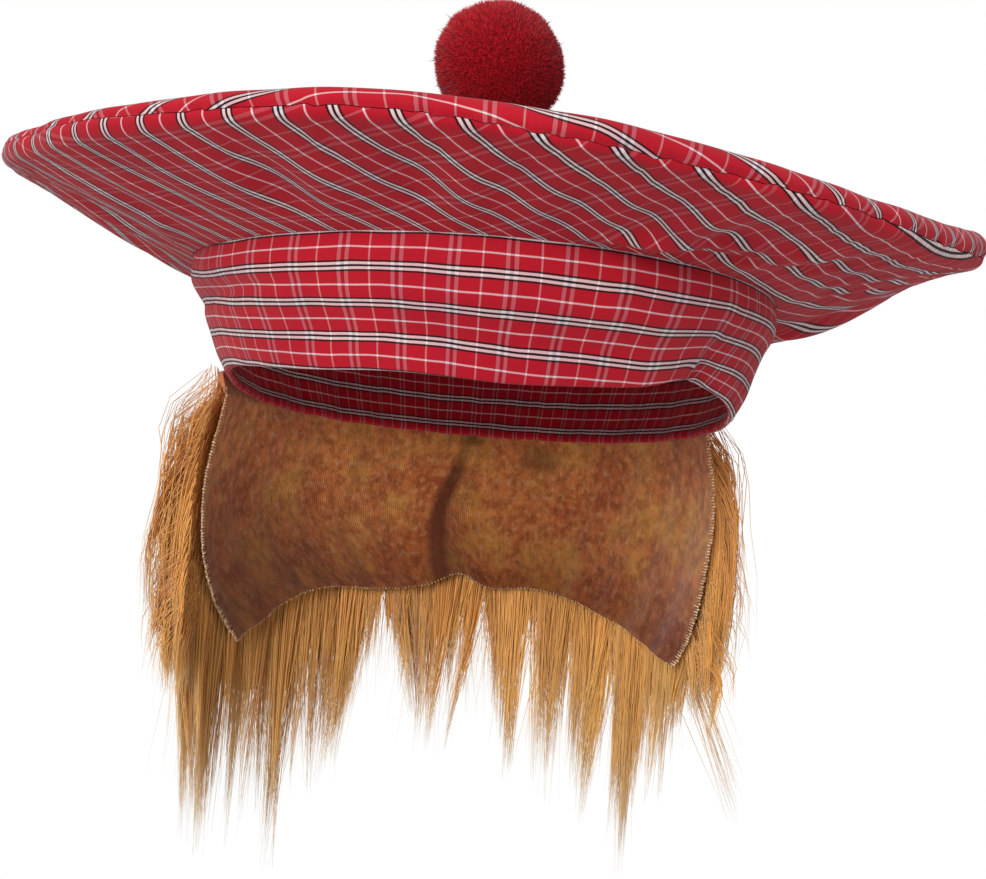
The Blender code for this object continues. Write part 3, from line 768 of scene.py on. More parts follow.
# %% [markdown]
# ## The pompom
#
# The pompom is a ball of cut pile, so dense that it looks like velvet, with a soft uneven outline.
# A smooth ball would look like plastic. So a lumpy ball is the ground, and thousands of short
# tapered tufts stand on it, each leaning a little. Tufts are spread evenly by the golden angle.

# %% Build the pompom
POMPOM_RADIUS = 0.0208
POMPOM_PLACE = np.array([-0.001, 0.0, 0.1076])
TUFT_COUNT = 18000
TUFT_LENGTH = 0.0034
TUFT_WIDTH = 0.00042
TUFT_LEAN = 0.07
TUFT_UNEVENNESS = 0.009
STRAY_SHARE = 0.006
GROUND_DEPTH = 0.0011


def lumpy(ways, size, seed):
    """A slow random height over a ball of directions."""
    chance = np.random.default_rng(seed)
    total = 0.0
    for _ in range(7):
        axis = chance.normal(size=3)
        axis *= size / np.linalg.norm(axis)
        total = total + np.sin(ways @ axis + chance.uniform(0, 6.28))
    return total / 2.6


def spread_on_ball(count):
    index = np.arange(count) + 0.5
    up = 1 - 2 * index / count
    turn = index * math.pi * (3 - math.sqrt(5))
    level = np.sqrt(1 - up**2)
    return np.stack([level * np.cos(turn), level * np.sin(turn), up], -1)


def pompom_height(ways):
    return POMPOM_RADIUS * (0.985 + 0.020 * lumpy(ways, 4, 2) + 0.012 * lumpy(ways, 15, 4))


def top_height(points):
    """The height of the top panel under points near its middle."""
    angle = np.degrees(np.arctan2(points[..., 0] - CROWN_SHIFT_X, -points[..., 1]))
    out = np.hypot(points[..., 0] - CROWN_SHIFT_X, points[..., 1]) / rim_radius(angle)
    fall = APEX_HEIGHT - (rim_height(angle) + ROLL_RADIUS)
    return APEX_HEIGHT - fall * read(DOME, out, "drop")


def make_pompom():
    chance = np.random.default_rng(31)
    ways = spread_on_ball(TUFT_COUNT)
    lean = ways + chance.normal(scale=TUFT_LEAN, size=ways.shape)
    lean /= np.linalg.norm(lean, axis=1, keepdims=True)
    tip_out = pompom_height(ways) * (1 + TUFT_UNEVENNESS * chance.normal(size=len(ways)))
    stray = chance.random(len(ways)) < STRAY_SHARE
    tip_out = tip_out + stray * chance.uniform(0.0004, 0.0018, len(ways))
    tips = lean * tip_out[:, None]
    roots = ways * (pompom_height(ways) - TUFT_LENGTH)[:, None]
    side = np.cross(ways, np.array([0.3, 0.4, 0.86]))
    side /= np.linalg.norm(side, axis=1, keepdims=True)
    other = np.cross(ways, side)
    spin = chance.uniform(0, 2 * np.pi, len(ways))
    ring = []
    for k in range(3):
        turn = spin + k * 2 * np.pi / 3
        ring.append(roots + TUFT_WIDTH * (side * np.cos(turn)[:, None] + other * np.sin(turn)[:, None]))
    points = np.stack([*ring, tips], 1)
    base = np.arange(TUFT_COUNT)[:, None, None] * 4
    faces = base + np.array([[0, 1, 3], [1, 2, 3], [2, 0, 3], [0, 2, 1]])
    tone = np.repeat(chance.random(TUFT_COUNT), 12)
    depth = np.tile([0, 0, 1, 0, 0, 1, 0, 0, 1, 0, 0, 0], TUFT_COUNT)
    points = points + POMPOM_PLACE
    low = top_height(points) + CLEARANCE
    points[..., 2] = np.maximum(points[..., 2], low)
    piece = mesh_object("pompom_pile", points.reshape(-1, 3), faces.reshape(-1, 3),
                        {"pile": np.stack([tone, depth], -1)})
    print(f"pompom_pile: {4 * TUFT_COUNT} triangles")
    return piece


def make_pompom_ball():
    bpy.ops.mesh.primitive_ico_sphere_add(subdivisions=5, radius=1)
    ball = bpy.context.object
    ball.name = "pompom_ball"
    count = len(ball.data.vertices)
    ways = np.zeros(count * 3)
    ball.data.vertices.foreach_get("co", ways)
    ways = ways.reshape(-1, 3)
    points = ways * (pompom_height(ways) - GROUND_DEPTH)[:, None] + POMPOM_PLACE
    points[:, 2] = np.maximum(points[:, 2], top_height(points) + CLEARANCE)
    ball.data.vertices.foreach_set("co", points.ravel())
    ball.data.shade_smooth()
    return ball


pompom_pile = make_pompom()
pompom_ball = make_pompom_ball()

# %% [markdown]
# ### The pile's colour
#
# Cut pile lies in shade between its tufts, so each tuft gets painted shade that darkens it towards its
# root and leaves its cut end paler. A painted picture could carry that, but each tuft's map already
# holds its own tone and its depth, so two ramps read them.

# %% The pile's material
def pile_material():
    """Dark red pile, with painted shade that darkens it towards its roots and leaves its cut tips
    paler.
    """
    material, tree, shader = new_material("red_pile", 0.9, sheen=0.12, specular=0.06)
    place = add(tree, "UVMap", {}, uv_map="pile").outputs["UV"]
    split = add(tree, "SeparateXYZ", {"Vector": place})
    tone = ramp(tree, split.outputs["X"], (0.0, seen(186, 15, 30)), (1.0, seen(238, 36, 52)))
    # Painted shade between the tufts: each tuft is darker towards its root.
    shade = ramp(tree, split.outputs["Y"], (0.2, seen(120, 90, 95)), (1.0, seen(255, 255, 255)))
    tree.links.new(blended(tree, 1.0, tone, shade, way="MULTIPLY"), shader.inputs["Base Color"])
    return material


# The ground ball's dark red is painted shade, the shade deep among the tufts' roots.
def ground_material():
    material, tree, shader = new_material("red_pile_ground", 0.95, sheen=0.10, specular=0.05)
    place = add(tree, "TexCoord", {}).outputs["Object"]
    speck = add(tree, "TexNoise", {"Vector": place, "Scale": 1400.0, "Detail": 2.0}).outputs["Fac"]
    colour = ramp(tree, speck, (0.35, seen(92, 8, 16)), (0.7, seen(142, 16, 26)))
    tree.links.new(colour, shader.inputs["Base Color"])
    bump = add(tree, "Bump", {"Height": speck, "Strength": 0.6, "Distance": 0.0006})
    tree.links.new(bump.outputs["Normal"], shader.inputs["Normal"])
    return material


pompom_pile.data.materials.append(pile_material())
pompom_ball.data.materials.append(ground_material())

# %% [markdown]
# ## The flap's knitted backing
#
# The fur is sewn round the outside of the band's lower edge. What shows from the front is its
# knitted back, a curved flap with two side hems, an arched lower edge and a long crease down the
# middle. The flap follows a curved wall under the band, so a function gives points of that wall for
# an angle and a height, and the fur uses it again.

# %% The wall that the flap follows
FLAP_DROP = 0.0772
FLAP_LAP = 0.0080
FLAP_WALL = 0.0018
FLAP_FLARE = 0.0068
FLAP_CREASE = 0.0060

HEMS = table(
    "down left right",
    (0.00, -91, 107), (0.25, -96, 107), (0.62, -99, 112), (0.82, -107, 116), (1.00, -119, 122),
)
FLAP_EDGE = table(
    "across drop",
    (0.00, 1.000), (0.06, 0.920), (0.13, 0.817), (0.22, 0.750), (0.34, 0.740), (0.43, 0.709),
    (0.50, 0.646), (0.56, 0.700), (0.65, 0.690), (0.74, 0.729), (0.81, 0.788), (0.87, 0.841),
    (0.95, 0.931), (1.00, 0.978),
)
CREASE = table(
    "down across depth",
    (0.00, 0.545, 0.31), (0.25, 0.526, 0.82), (0.53, 0.505, 1.00), (0.80, 0.485, 0.81),
    (1.00, 0.470, 0.45),
)


def flap_wall(angle, height, deeper=0.0):
    """Points at a height on the curved wall under the band, moved out by deeper."""
    below = np.clip(-height / FLAP_DROP, 0.0, 1.0)
    spread = 0.75 + 0.25 * np.sin(np.radians(angle)) ** 2
    flare = FLAP_FLARE * spread * np.sin(np.pi / 2 * np.minimum(below / 0.45, 1.0))
    inset = BAND_TAPER * read(BAND_SIDE, np.maximum(height, 0.0) / BAND_HEIGHT, "inset")
    inset = inset - deeper - flare
    inset = inset - GATHER_DEPTH * bell(turned(angle - 180), GATHER_SPREAD) - 2 * CLEARANCE
    way = outward(angle + 0 * inset)
    return np.stack([(BAND_HALF_WIDTH - inset) * way[..., 0],
                     (BAND_HALF_DEPTH - inset) * way[..., 1], height + 0 * inset], -1)


print("the flap hangs", round(FLAP_DROP * 1000, 1), "mm below the band")

# %% Build the backing
FLAP_COLUMNS = 240
FLAP_ROWS = 60
FLAP_GIRTH = 0.262
LAP_SHARE = 1 / 7
CREASE_SPREAD = 0.023
DENT_DEPTH, WAVE_DEPTH, CURL_DEPTH = 0.0022, 0.0007, 0.0009
HEM_THINNESS, HEM_SHARE = 0.25, 0.03


def flap_points(across, down):
    """The inner face of the flap for a column of places across and a row of places down."""
    across, down = across[:, None], down[None, :]
    left = read(HEMS, down, "left")
    right = read(HEMS, down, "right")
    drop = FLAP_DROP * read(FLAP_EDGE, across, "drop")
    below = (down - LAP_SHARE) / (1 - LAP_SHARE)
    lap = FLAP_LAP * ease(0.15 + across / 0.06)
    height = np.where(down < LAP_SHARE, lap * (1 - down / LAP_SHARE), -drop * below)
    line = read(CREASE, down, "across")
    pushed = FLAP_CREASE * read(CREASE, down, "depth") * bell(across - line, CREASE_SPREAD)
    dent = DENT_DEPTH * bell(across - 0.33, 0.022) * bell(down - 0.38, 0.16)
    hang = ease((down - LAP_SHARE) / 0.1)
    waves = WAVE_DEPTH * np.sin(across * 61 + 3 * down) * np.sin(across * 23 + 1)
    curl = CURL_DEPTH * ease((down - 0.93) / 0.07)
    inward = (pushed + dent + waves + curl) * hang
    return flap_wall(left + (right - 360 - left) * across, height, deeper=-inward)


flap_across = np.linspace(0, 1, FLAP_COLUMNS)
flap_down = np.linspace(0, 1, FLAP_ROWS)
inner_side = flap_points(flap_across, flap_down)
knit_lay = np.stack(np.broadcast_arrays(flap_across[:, None] * FLAP_GIRTH,
                                        flap_down[None, :] * FLAP_DROP), -1)
to_hem = np.minimum(flap_across, 1 - flap_across)[:, None]
full_share = HEM_THINNESS + (1 - HEM_THINNESS) * ease(to_hem / HEM_SHARE)
flap_wall_depth = FLAP_WALL * full_share + 0 * flap_down
backing = cloth_object("flap_backing_knit", inner_side, flap_wall_depth, knit_lay, False)

# %% [markdown]
# ### The knit's colour
#
# The back of the fur is a brushed knit, soft fuzz in reddish and golden brown with fine ribs and pale
# flecks. Noise of three sizes gives the patches, the mottle and the flecks. A shadow is painted along
# the crease, worked out from the same map of the cloth, in metres, with a soft painted shadow right of
# the middle and painted shade towards the lower edge.

# %% The knit's material
RIB_PITCH = 0.00085
# The crease's painted shadow: where its line starts, how it slants, and how wide it grows.
CREASE_TOP, CREASE_SLANT = 0.1410, 0.26
CREASE_REACH, CREASE_WIDENING = 0.0030, 0.055
# A soft shadow painted right of the middle of the flap: its place and size in the cloth map, in metres.
SHADE_PLACE, SHADE_SIZE = (0.168, 0.021), (0.011, 0.008)


def painted_crease_shadow(tree, u, v):
    """1 along the crease, where a shadow is painted on the brushed pile, and 0 away from it."""
    line = maths(tree, "SUBTRACT", CREASE_TOP, maths(tree, "MULTIPLY", v, CREASE_SLANT))
    away = maths(tree, "ABSOLUTE", maths(tree, "SUBTRACT", u, line))
    reach = maths(tree, "ADD", CREASE_REACH, maths(tree, "MULTIPLY", v, CREASE_WIDENING))
    near = ramp(tree, maths(tree, "DIVIDE", away, reach), (0.35, (1, 1, 1, 1)),
                (1.0, (0, 0, 0, 1)))
    along = ramp(tree, maths(tree, "DIVIDE", v, FLAP_DROP), (0.15, (0, 0, 0, 1)),
                 (0.36, (0.8, 0.8, 0.8, 1)), (0.6, (1, 1, 1, 1)), (1.0, (1, 1, 1, 1)))
    return maths(tree, "MULTIPLY", near, along)


def soft_spot(tree, u, v, place, size):
    """1 in the middle of an oval and 0 at its edge."""
    x = maths(tree, "DIVIDE", maths(tree, "SUBTRACT", u, place[0]), size[0])
    y = maths(tree, "DIVIDE", maths(tree, "SUBTRACT", v, place[1]), size[1])
    far = maths(tree, "ADD", maths(tree, "MULTIPLY", x, x), maths(tree, "MULTIPLY", y, y))
    return maths(tree, "SUBTRACT", 1.0, maths(tree, "MINIMUM", far, 1.0))


def knit_material():
    """Brushed knit: mottled fuzz in reddish and golden brown, pale flecks, fine ribs and painted shade.
    """
    material, tree, shader = new_material("brushed_brown_knit", 0.9, sheen=0.2, specular=0.08)
    place = add(tree, "UVMap", {}, uv_map="cloth").outputs["UV"]
    split = add(tree, "SeparateXYZ", {"Vector": place})
    u, v = split.outputs["X"], split.outputs["Y"]
    patches = add(tree, "TexNoise", {"Vector": place, "Scale": 38.0, "Detail": 4.0,
                                     "Roughness": 0.6}).outputs["Fac"]
    tall = add(tree, "Mapping", {"Vector": place, "Scale": (1.0, 0.8, 1.0)}).outputs[0]
    mottle = add(tree, "TexNoise", {"Vector": tall, "Scale": 230.0, "Detail": 5.0,
                                    "Roughness": 0.7}).outputs["Fac"]
    flecks = add(tree, "TexNoise", {"Vector": tall, "Scale": 380.0, "Detail": 4.0,
                                    "Roughness": 0.6}).outputs["Fac"]
    colour = ramp(tree, patches, (0.34, seen(208, 112, 62)), (0.50, seen(230, 140, 78)),
                  (0.64, seen(242, 164, 72)))
    shade = ramp(tree, mottle, (0.40, seen(200, 188, 180)), (0.60, seen(255, 255, 255)))
    colour = blended(tree, 1.0, colour, shade, way="MULTIPLY")
    fleck_share = ramp(tree, flecks, (0.50, (0, 0, 0, 1)), (0.72, (0.5, 0.5, 0.5, 1)))
    colour = blended(tree, fleck_share, colour, seen(250, 200, 146))
    wave = maths(tree, "SINE", maths(tree, "MULTIPLY", u, 2 * math.pi / RIB_PITCH))
    ribbed = ramp(tree, patches, (0.50, (0, 0, 0, 1)), (0.62, (0.5, 0.5, 0.5, 1)))
    rib_share = maths(tree, "MULTIPLY", ribbed, maths(tree, "MAXIMUM", wave, 0.0))
    colour = blended(tree, rib_share, colour, seen(228, 180, 112))
    # Painted shade: the knit darkens towards its lower edge.
    fall = ramp(tree, maths(tree, "DIVIDE", v, FLAP_DROP), (0.35, seen(255, 255, 255)),
                (0.95, seen(160, 148, 142)))
    colour = blended(tree, 1.0, colour, fall, way="MULTIPLY")
    # Painted shadow: along the crease and in the soft spot the knit darkens towards this brown.
    dark = maths(tree, "MAXIMUM", maths(tree, "MULTIPLY", painted_crease_shadow(tree, u, v), 0.88),
                 maths(tree, "MULTIPLY", soft_spot(tree, u, v, SHADE_PLACE, SHADE_SIZE), 0.55))
    colour = blended(tree, dark, colour, seen(84, 38, 24))
    tree.links.new(colour, shader.inputs["Base Color"])
    height = maths(tree, "ADD", maths(tree, "MULTIPLY", wave, 0.2), maths(tree, "ADD", flecks, mottle))
    bump = add(tree, "Bump", {"Height": height, "Strength": 0.7, "Distance": 0.0007})
    tree.links.new(bump.outputs["Normal"], shader.inputs["Normal"])
    return material


backing.data.materials.append(knit_material())

# %% [markdown]
# ## Stitches along the hems
#
# The side hems are overlocked with thick cream thread, which lies over the edge like a row of small
# beads, and the arched lower edge has a finer row. Each stitch is a short bent rod that wraps the
# edge. One small rod is copied along the edge's own points, so the row follows every curve.

# %% A helper that sweeps thin rods along many paths at once
def swept_rods(paths, side, other, thick, sides):
    """Points, quads and closed ends of rods that follow paths, and the ring that each quad of a rod
    starts at. side and other point across a path, and thick is the radius at each of its points."""
    count, rings = paths.shape[:2]
    turn = np.arange(sides) * 2 * np.pi / sides
    circle = (side[..., None, :] * np.cos(turn)[:, None]
              + other[..., None, :] * np.sin(turn)[:, None])
    points = paths[:, :, None] + circle * thick[..., None, None]
    r, s = np.meshgrid(np.arange(rings - 1), np.arange(sides), indexing="ij")
    r, s = r.ravel(), s.ravel()
    s_next = (s + 1) % sides
    quads = np.stack([r * sides + s, r * sides + s_next, (r + 1) * sides + s_next,
                      (r + 1) * sides + s], 1)
    first = np.arange(count)[:, None] * rings * sides
    faces = (first[:, None] + quads).reshape(-1, 4)
    around = np.arange(sides)
    ends = list(first + around[::-1]) + list(first + (rings - 1) * sides + around)
    return points.reshape(-1, 3), faces, ends, r


def rods(name, starts, ends, bulge, width, sides=5, rings=4):
    """Short tapered rods from starts to ends, bowed by bulge vectors."""
    t = np.linspace(0, 1, rings)
    axis = starts[:, None] * (1 - t)[None, :, None] + ends[:, None] * t[None, :, None]
    axis = axis + bulge[:, None] * np.sin(np.pi * t)[None, :, None]
    run = ends - starts
    run /= np.linalg.norm(run, axis=1, keepdims=True)
    side = np.cross(run, bulge + 1e-9)
    side /= np.linalg.norm(side, axis=1, keepdims=True)
    lift = np.cross(run, side)
    thick = width * (0.45 + 0.55 * np.sin(np.pi * (0.12 + 0.76 * t)))
    points, faces, caps, _ = swept_rods(axis, side[:, None], lift[:, None], thick[None], sides)
    piece = mesh_object(name, points, faces, {}, caps)
    print(f"{name}: {len(starts)} stitches")
    return piece


# %% A row of stitches along an edge
def even_places(path, beside, spacing):
    """Points at even spacing along a path, the points beside them on a second path, and the first
    path's direction at each."""
    steps = np.linalg.norm(np.diff(path, axis=0), axis=1)
    length = np.concatenate([[0], np.cumsum(steps)])
    at = np.arange(0, length[-1], spacing)
    points = np.stack([np.interp(at, length, path[:, k]) for k in range(3)], 1)
    others = np.stack([np.interp(at, length, beside[:, k]) for k in range(3)], 1)
    ahead = np.stack([np.interp(at + spacing, length, path[:, k]) for k in range(3)], 1)
    run = ahead - points
    run[-1] = run[-2]
    return points, others, run / np.linalg.norm(run, axis=1, keepdims=True)


def overlock(name, inner_edge, outer_edge, into, spacing, width, reach):
    """A row of stitches that wraps an edge from its inner side to its outer side."""
    near, far, run = even_places(inner_edge, outer_edge, spacing)
    chance = np.random.default_rng(41)
    thick = far - near
    thick /= np.linalg.norm(thick, axis=1, keepdims=True)
    inward = np.cross(run, thick) * into
    jitter = chance.uniform(0.4, 1.7, (len(near), 1))
    starts = near + inward * reach * jitter - thick * 0.0002 + run * spacing * 0.4
    ends = far + inward * reach * 0.8 + thick * 0.0002 - run * spacing * 0.2
    bulge = -inward * (reach * 1.1 + 0.0005)
    return rods(name, starts, ends, bulge, width)


def cream_thread():
    material, tree, shader = new_material("cream_thread", 0.8, sheen=0.2, specular=0.2)
    place = add(tree, "TexCoord", {}).outputs["Object"]
    speck = add(tree, "TexNoise", {"Vector": place, "Scale": 700.0, "Detail": 2.0}).outputs["Fac"]
    colour = ramp(tree, speck, (0.38, seen(178, 128, 84)), (0.62, seen(244, 214, 170)))
    tree.links.new(colour, shader.inputs["Base Color"])
    bump = add(tree, "Bump", {"Height": speck, "Strength": 0.4, "Distance": 0.0003})
    tree.links.new(bump.outputs["Normal"], shader.inputs["Normal"])
    return material


# %% Stitch the hems
outer_side = inner_side - grid_normals(inner_side, False) * flap_wall_depth[..., None]
below_band = 3
hem_left = overlock("left_hem_stitches", inner_side[0, below_band:], outer_side[0, below_band:],
                    into=1, spacing=0.0010, width=0.00044, reach=0.0009)
hem_right = overlock("right_hem_stitches", inner_side[-1, below_band:], outer_side[-1, below_band:],
                     into=-1, spacing=0.0010, width=0.00038, reach=0.0008)
hem_low = overlock("lower_edge_stitches", inner_side[:, -1], outer_side[:, -1],
                   into=-1, spacing=0.0012, width=0.00022, reach=0.0004)
stitches = [hem_left, hem_right, hem_low]
thread = cream_thread()
for row in stitches:
    row.data.materials.append(thread)

# %% [markdown]
# ## The fur
#
# The fur is long ginger pile. Each fibre grows from the flap's outer side, comes out a little, and
# then hangs down in a lock with its neighbours. Hair curves would not export, so each strand is a
# thin three-sided rod made straight from arrays. Strands share a lock: they start apart and draw
# together towards its tip. Under the upper half of the pile lies a ridged mass, so that little light
# shows through it.

# %% Where the fur lies
FUR_LEFT, FUR_RIGHT = -98, 113
FUR_CORNER = 5.5
HAIR_DROP = 0.147
PILE_DEPTH = 0.018
ROOT_GAP = 0.0008

FUR = table(
    "across tip depth",
    (0.00, 0.50, 1.04), (0.05, 0.58, 1.04), (0.08, 0.66, 1.04), (0.11, 0.92, 1.04),
    (0.155, 0.95, 1.00), (0.19, 1.00, 1.00), (0.23, 0.88, 1.00), (0.275, 0.99, 1.00),
    (0.317, 0.83, 0.96), (0.353, 0.82, 0.96), (0.377, 0.70, 0.96), (0.418, 0.60, 0.96),
    (0.47, 0.60, 0.96), (0.51, 0.76, 0.96), (0.565, 0.65, 0.96), (0.597, 0.66, 0.95),
    (0.632, 0.78, 0.95), (0.66, 0.67, 0.95), (0.69, 0.85, 0.95), (0.722, 0.70, 0.94),
    (0.745, 0.87, 0.94), (0.79, 0.72, 0.94), (0.82, 0.96, 0.94), (0.848, 0.78, 0.96),
    (0.875, 0.78, 0.98), (0.905, 0.64, 1.00), (0.945, 0.58, 1.02), (1.00, 0.47, 1.02),
)
LOCK_TIPS = np.array([0.130, 0.19, 0.275, 0.345, 0.51, 0.632, 0.69, 0.745, 0.82, 0.875])
PILE = table(
    "down depth",
    (0.00, 0.60), (0.07, 0.96), (0.17, 1.06), (0.32, 0.82), (0.52, 0.78), (0.76, 0.86),
    (1.00, 0.74),
)


def fur_point(across, height, depth):
    """A point in the fur. depth is how far it stands off the flap. At its top left corner the fur
    reaches further round to the front."""
    further = FUR_CORNER * np.clip(1 - across, 0, 1)**6 * ease(1 + height / 0.03)
    angle = FUR_LEFT + (FUR_RIGHT - 360 - FUR_LEFT) * across + further
    return flap_wall(angle, height, FLAP_WALL + ROOT_GAP + depth)


print("the fur's outline has", len(FUR["across"]), "places and hangs", HAIR_DROP, "m below the band")

# %% Build the ridged mass under the strands
MASS_COLUMNS = 360
MASS_ROWS = 36
MASS_LEFT, MASS_RIGHT = 0.060, 0.940
MASS_REACH = 0.62


def lumpy_line(at, seed):
    """A slow random height along a line, one bump for about each unit."""
    chance = np.random.default_rng(seed)
    total = 0.0
    for step in (0.7, 1.0, 1.37, 1.9):
        total = total + np.sin(at * step * 2 * np.pi + chance.uniform(0, 6.28))
    return total / 2.8


def make_fur_mass():
    across = np.linspace(MASS_LEFT, MASS_RIGHT, MASS_COLUMNS)
    down = np.linspace(0, 1, MASS_ROWS)
    place, share = across[:, None], down[None, :]
    lock = lumpy_line(place * 22 + 0.35 * share, 5)
    strand = lumpy_line(place * 120 + 1.2 * share, 6)
    ragged = MASS_REACH + 0.07 * lumpy_line(place * 24, 7) + 0.05 * lumpy_line(place * 95, 12)
    low = HAIR_DROP * np.maximum(read(FUR, place, "tip"), 0.70) * ragged
    height = FLAP_LAP * 0.5 - (low + FLAP_LAP * 0.5) * share
    full = PILE_DEPTH * read(FUR, place, "depth") * read(PILE, np.minimum(share * 1.3, 1), "depth")
    full = full * ease(0.2 + place / 0.16) * ease(0.2 + (1 - place) / 0.16)
    inner_depth = 0.0006 + 0.36 * full * ease((share - 0.15) / 0.6)
    thick = full * (0.42 + 0.13 * lock + 0.04 * strand) * (1 - 0.9 * ease((share - 0.3) / 0.7))
    wall = np.maximum(thick, 0.0007)[::-1]
    points = fur_point(place + 0 * share, height, inner_depth + np.maximum(thick, 0.0007))[::-1]
    lay = np.stack(np.broadcast_arrays(across[::-1, None] * 0.30, -height[::-1]), -1)
    return points, wall, lay


mass_points, mass_wall, mass_lay = make_fur_mass()
fur_mass = cloth_object("fur_mass", mass_points, mass_wall, mass_lay, False)

# %% [markdown]
# ### Growing the strands
#
# The fur hangs in a few big locks, each made of many small ones. So small locks are planted all over
# the flap, more of them at its two ends, and lean towards the nearest big lock on their way down.
# Single stray hairs stand off between them, and one thin lock swings out to the right. All of them
# are hung by the same function, which knows how deep the pile is at each height.

# %% Where the locks stand
LOCKS = 400
STRANDS_PER_LOCK = 24
STRAY_STRANDS = 2400
STRAND_RINGS = 7
STRAND_WIDTH = 0.00020


def places_across(chance, count):
    """Places across the flap, with more of them near its two ends, where the pile shows edge on."""
    even = chance.uniform(0, 1, count)
    end = np.where(chance.random(count) < 0.55, 0.09 * even, 1 - 0.09 * even)
    return np.where(chance.random(count) < 0.24, end, even)


def toward_tips(place, pull):
    """Moves places towards the nearest of the few big locks, except at the flap's two ends."""
    nearest = LOCK_TIPS[np.argmin(np.abs(place[:, None] - LOCK_TIPS), axis=1)]
    inside = ease((place - 0.07) / 0.03) * ease((0.93 - place) / 0.03)
    return place + (nearest - place) * pull * inside


STRAND_STEPS = np.linspace(0, 1, STRAND_RINGS)[None, :] ** 1.6


# %% Hang strands in the pile
def lay_strands(chance, place, height, drop, layer, flare, tone, width):
    """Hangs strands in the pile. drop is how far below the band a strand may end, layer is its
    share of the pile's depth, and flare how far its tip turns out."""
    count = len(place)
    t = STRAND_STEPS
    wave = chance.normal(scale=0.0015, size=(count, 1))
    place = place + wave * np.sin(np.pi * t * chance.uniform(1, 2.2, (count, 1)))
    place = np.clip(place, -0.006, 1.04)
    height = np.minimum(height, 0.0085 + 0.0015 * bell(place[:, 0], 0.05))
    length = chance.uniform(0.072, 0.112, count)
    tip = -np.minimum(drop, length - height)
    tip = np.minimum(tip, height - 0.02)
    z = height[:, None] + (tip - height)[:, None] * t**1.15
    full = PILE_DEPTH * read(FUR, np.clip(place, 0, 1), "depth")
    high = read(PILE, np.clip((0.0085 - z) / 0.08, 0, 1), "depth")
    run_out = 0.34 + 0.26 * ease(-height / 0.02)[:, None]
    stands = np.sin(np.pi / 2 * np.minimum((0.03 + t) / run_out, 1)) * layer[:, None]
    depth = full * stands * high * (1 + flare[:, None] * ease((t - 0.4) / 0.6))
    paths = fur_point(place, z, depth + chance.uniform(0, 0.0008, (count, 1)))
    below = np.clip(0.66 * -z / HAIR_DROP + 0.34 * t**2, 0, 1)
    return paths, tone, width, below


# %% Plant the locks
def strand_paths(chance, locks, per_lock):
    """Points down every strand, with its tone, its thickness and how far down each point is."""
    lock_across = places_across(chance, locks)
    row = chance.permutation(locks) / locks
    edge = FLAP_DROP * read(FLAP_EDGE, lock_across, "drop")
    lock_height = 0.008 - (edge + 0.005) * row
    lock_tip = 1 - 0.32 * chance.random(locks) ** 1.8
    lock_middle = toward_tips(lock_across, chance.uniform(0.0, 0.7, locks))
    lock_middle = lock_middle + chance.normal(scale=0.006, size=locks)
    lock_layer = chance.uniform(0.05, 1.06, locks) * (1 - 0.45 * row)
    lock_flare = chance.uniform(-0.5, 0.18, locks)
    lock_tone = chance.random(locks)
    lock_spread = chance.uniform(0.009, 0.019, locks)
    owner = np.repeat(np.arange(locks), per_lock)
    count = len(owner)
    across = np.clip(lock_across[owner] + chance.normal(size=count) * lock_spread[owner], 0, 1)
    height = lock_height[owner] + chance.normal(scale=0.004, size=count)
    apart = (across - lock_across[owner])[:, None] * (1 - 0.88 * STRAND_STEPS**1.2)
    drift = (lock_middle - lock_across)[owner][:, None] * STRAND_STEPS**2.4
    place = lock_across[owner][:, None] + apart + drift
    reach = lock_tip[owner] * chance.uniform(0.84, 1.0, count)
    local = HAIR_DROP * read(FUR, np.clip(lock_middle, 0, 1), "tip")[owner]
    layer = lock_layer[owner] + chance.uniform(-0.05, 0.08, count)
    flare = lock_flare[owner] + chance.uniform(-0.05, 0.05, count)
    tone = 0.65 * lock_tone[owner] + 0.35 * chance.random(count)
    width = STRAND_WIDTH * chance.uniform(0.8, 1.25, count)
    return lay_strands(chance, place, height, 1.09 * local * reach, layer, flare, tone, width)


# %% Plant the stray hairs and the lock that swings out
def stray_paths(chance, count):
    """Single hairs that have left their locks and stand off further."""
    across = places_across(chance, count)
    edge = FLAP_DROP * read(FLAP_EDGE, across, "drop")
    height = 0.008 - (edge + 0.006) * chance.random(count)
    lean = chance.normal(scale=0.018, size=(count, 1))
    place = across[:, None] + lean * STRAND_STEPS**1.5
    drop = HAIR_DROP * read(FUR, across, "tip") * chance.uniform(0.60, 1.06, count)
    layer = chance.uniform(0.1, 1.02, count)
    flare = chance.uniform(-0.4, 0.3, count)
    tone = chance.uniform(0.5, 1, count)
    width = STRAND_WIDTH * chance.uniform(0.55, 0.8, count)
    return lay_strands(chance, place, height, drop, layer, flare, tone, width)


def curved_lock(chance, count):
    """The one thin lock that swings out to the right, away from all the others."""
    across = 0.885 + chance.normal(scale=0.010, size=(count, 1))
    end = 0.975 + chance.normal(scale=0.006, size=(count, 1))
    place = across + (end - across) * STRAND_STEPS**2.2
    height = -0.040 + chance.normal(scale=0.008, size=count)
    drop = HAIR_DROP * chance.uniform(0.74, 0.86, count)
    layer = chance.uniform(0.75, 0.95, count)
    flare = np.full(count, 0.6)
    tone = np.full(count, 0.6)
    width = np.full(count, 0.8 * STRAND_WIDTH)
    return lay_strands(chance, place, height, drop, layer, flare, tone, width)


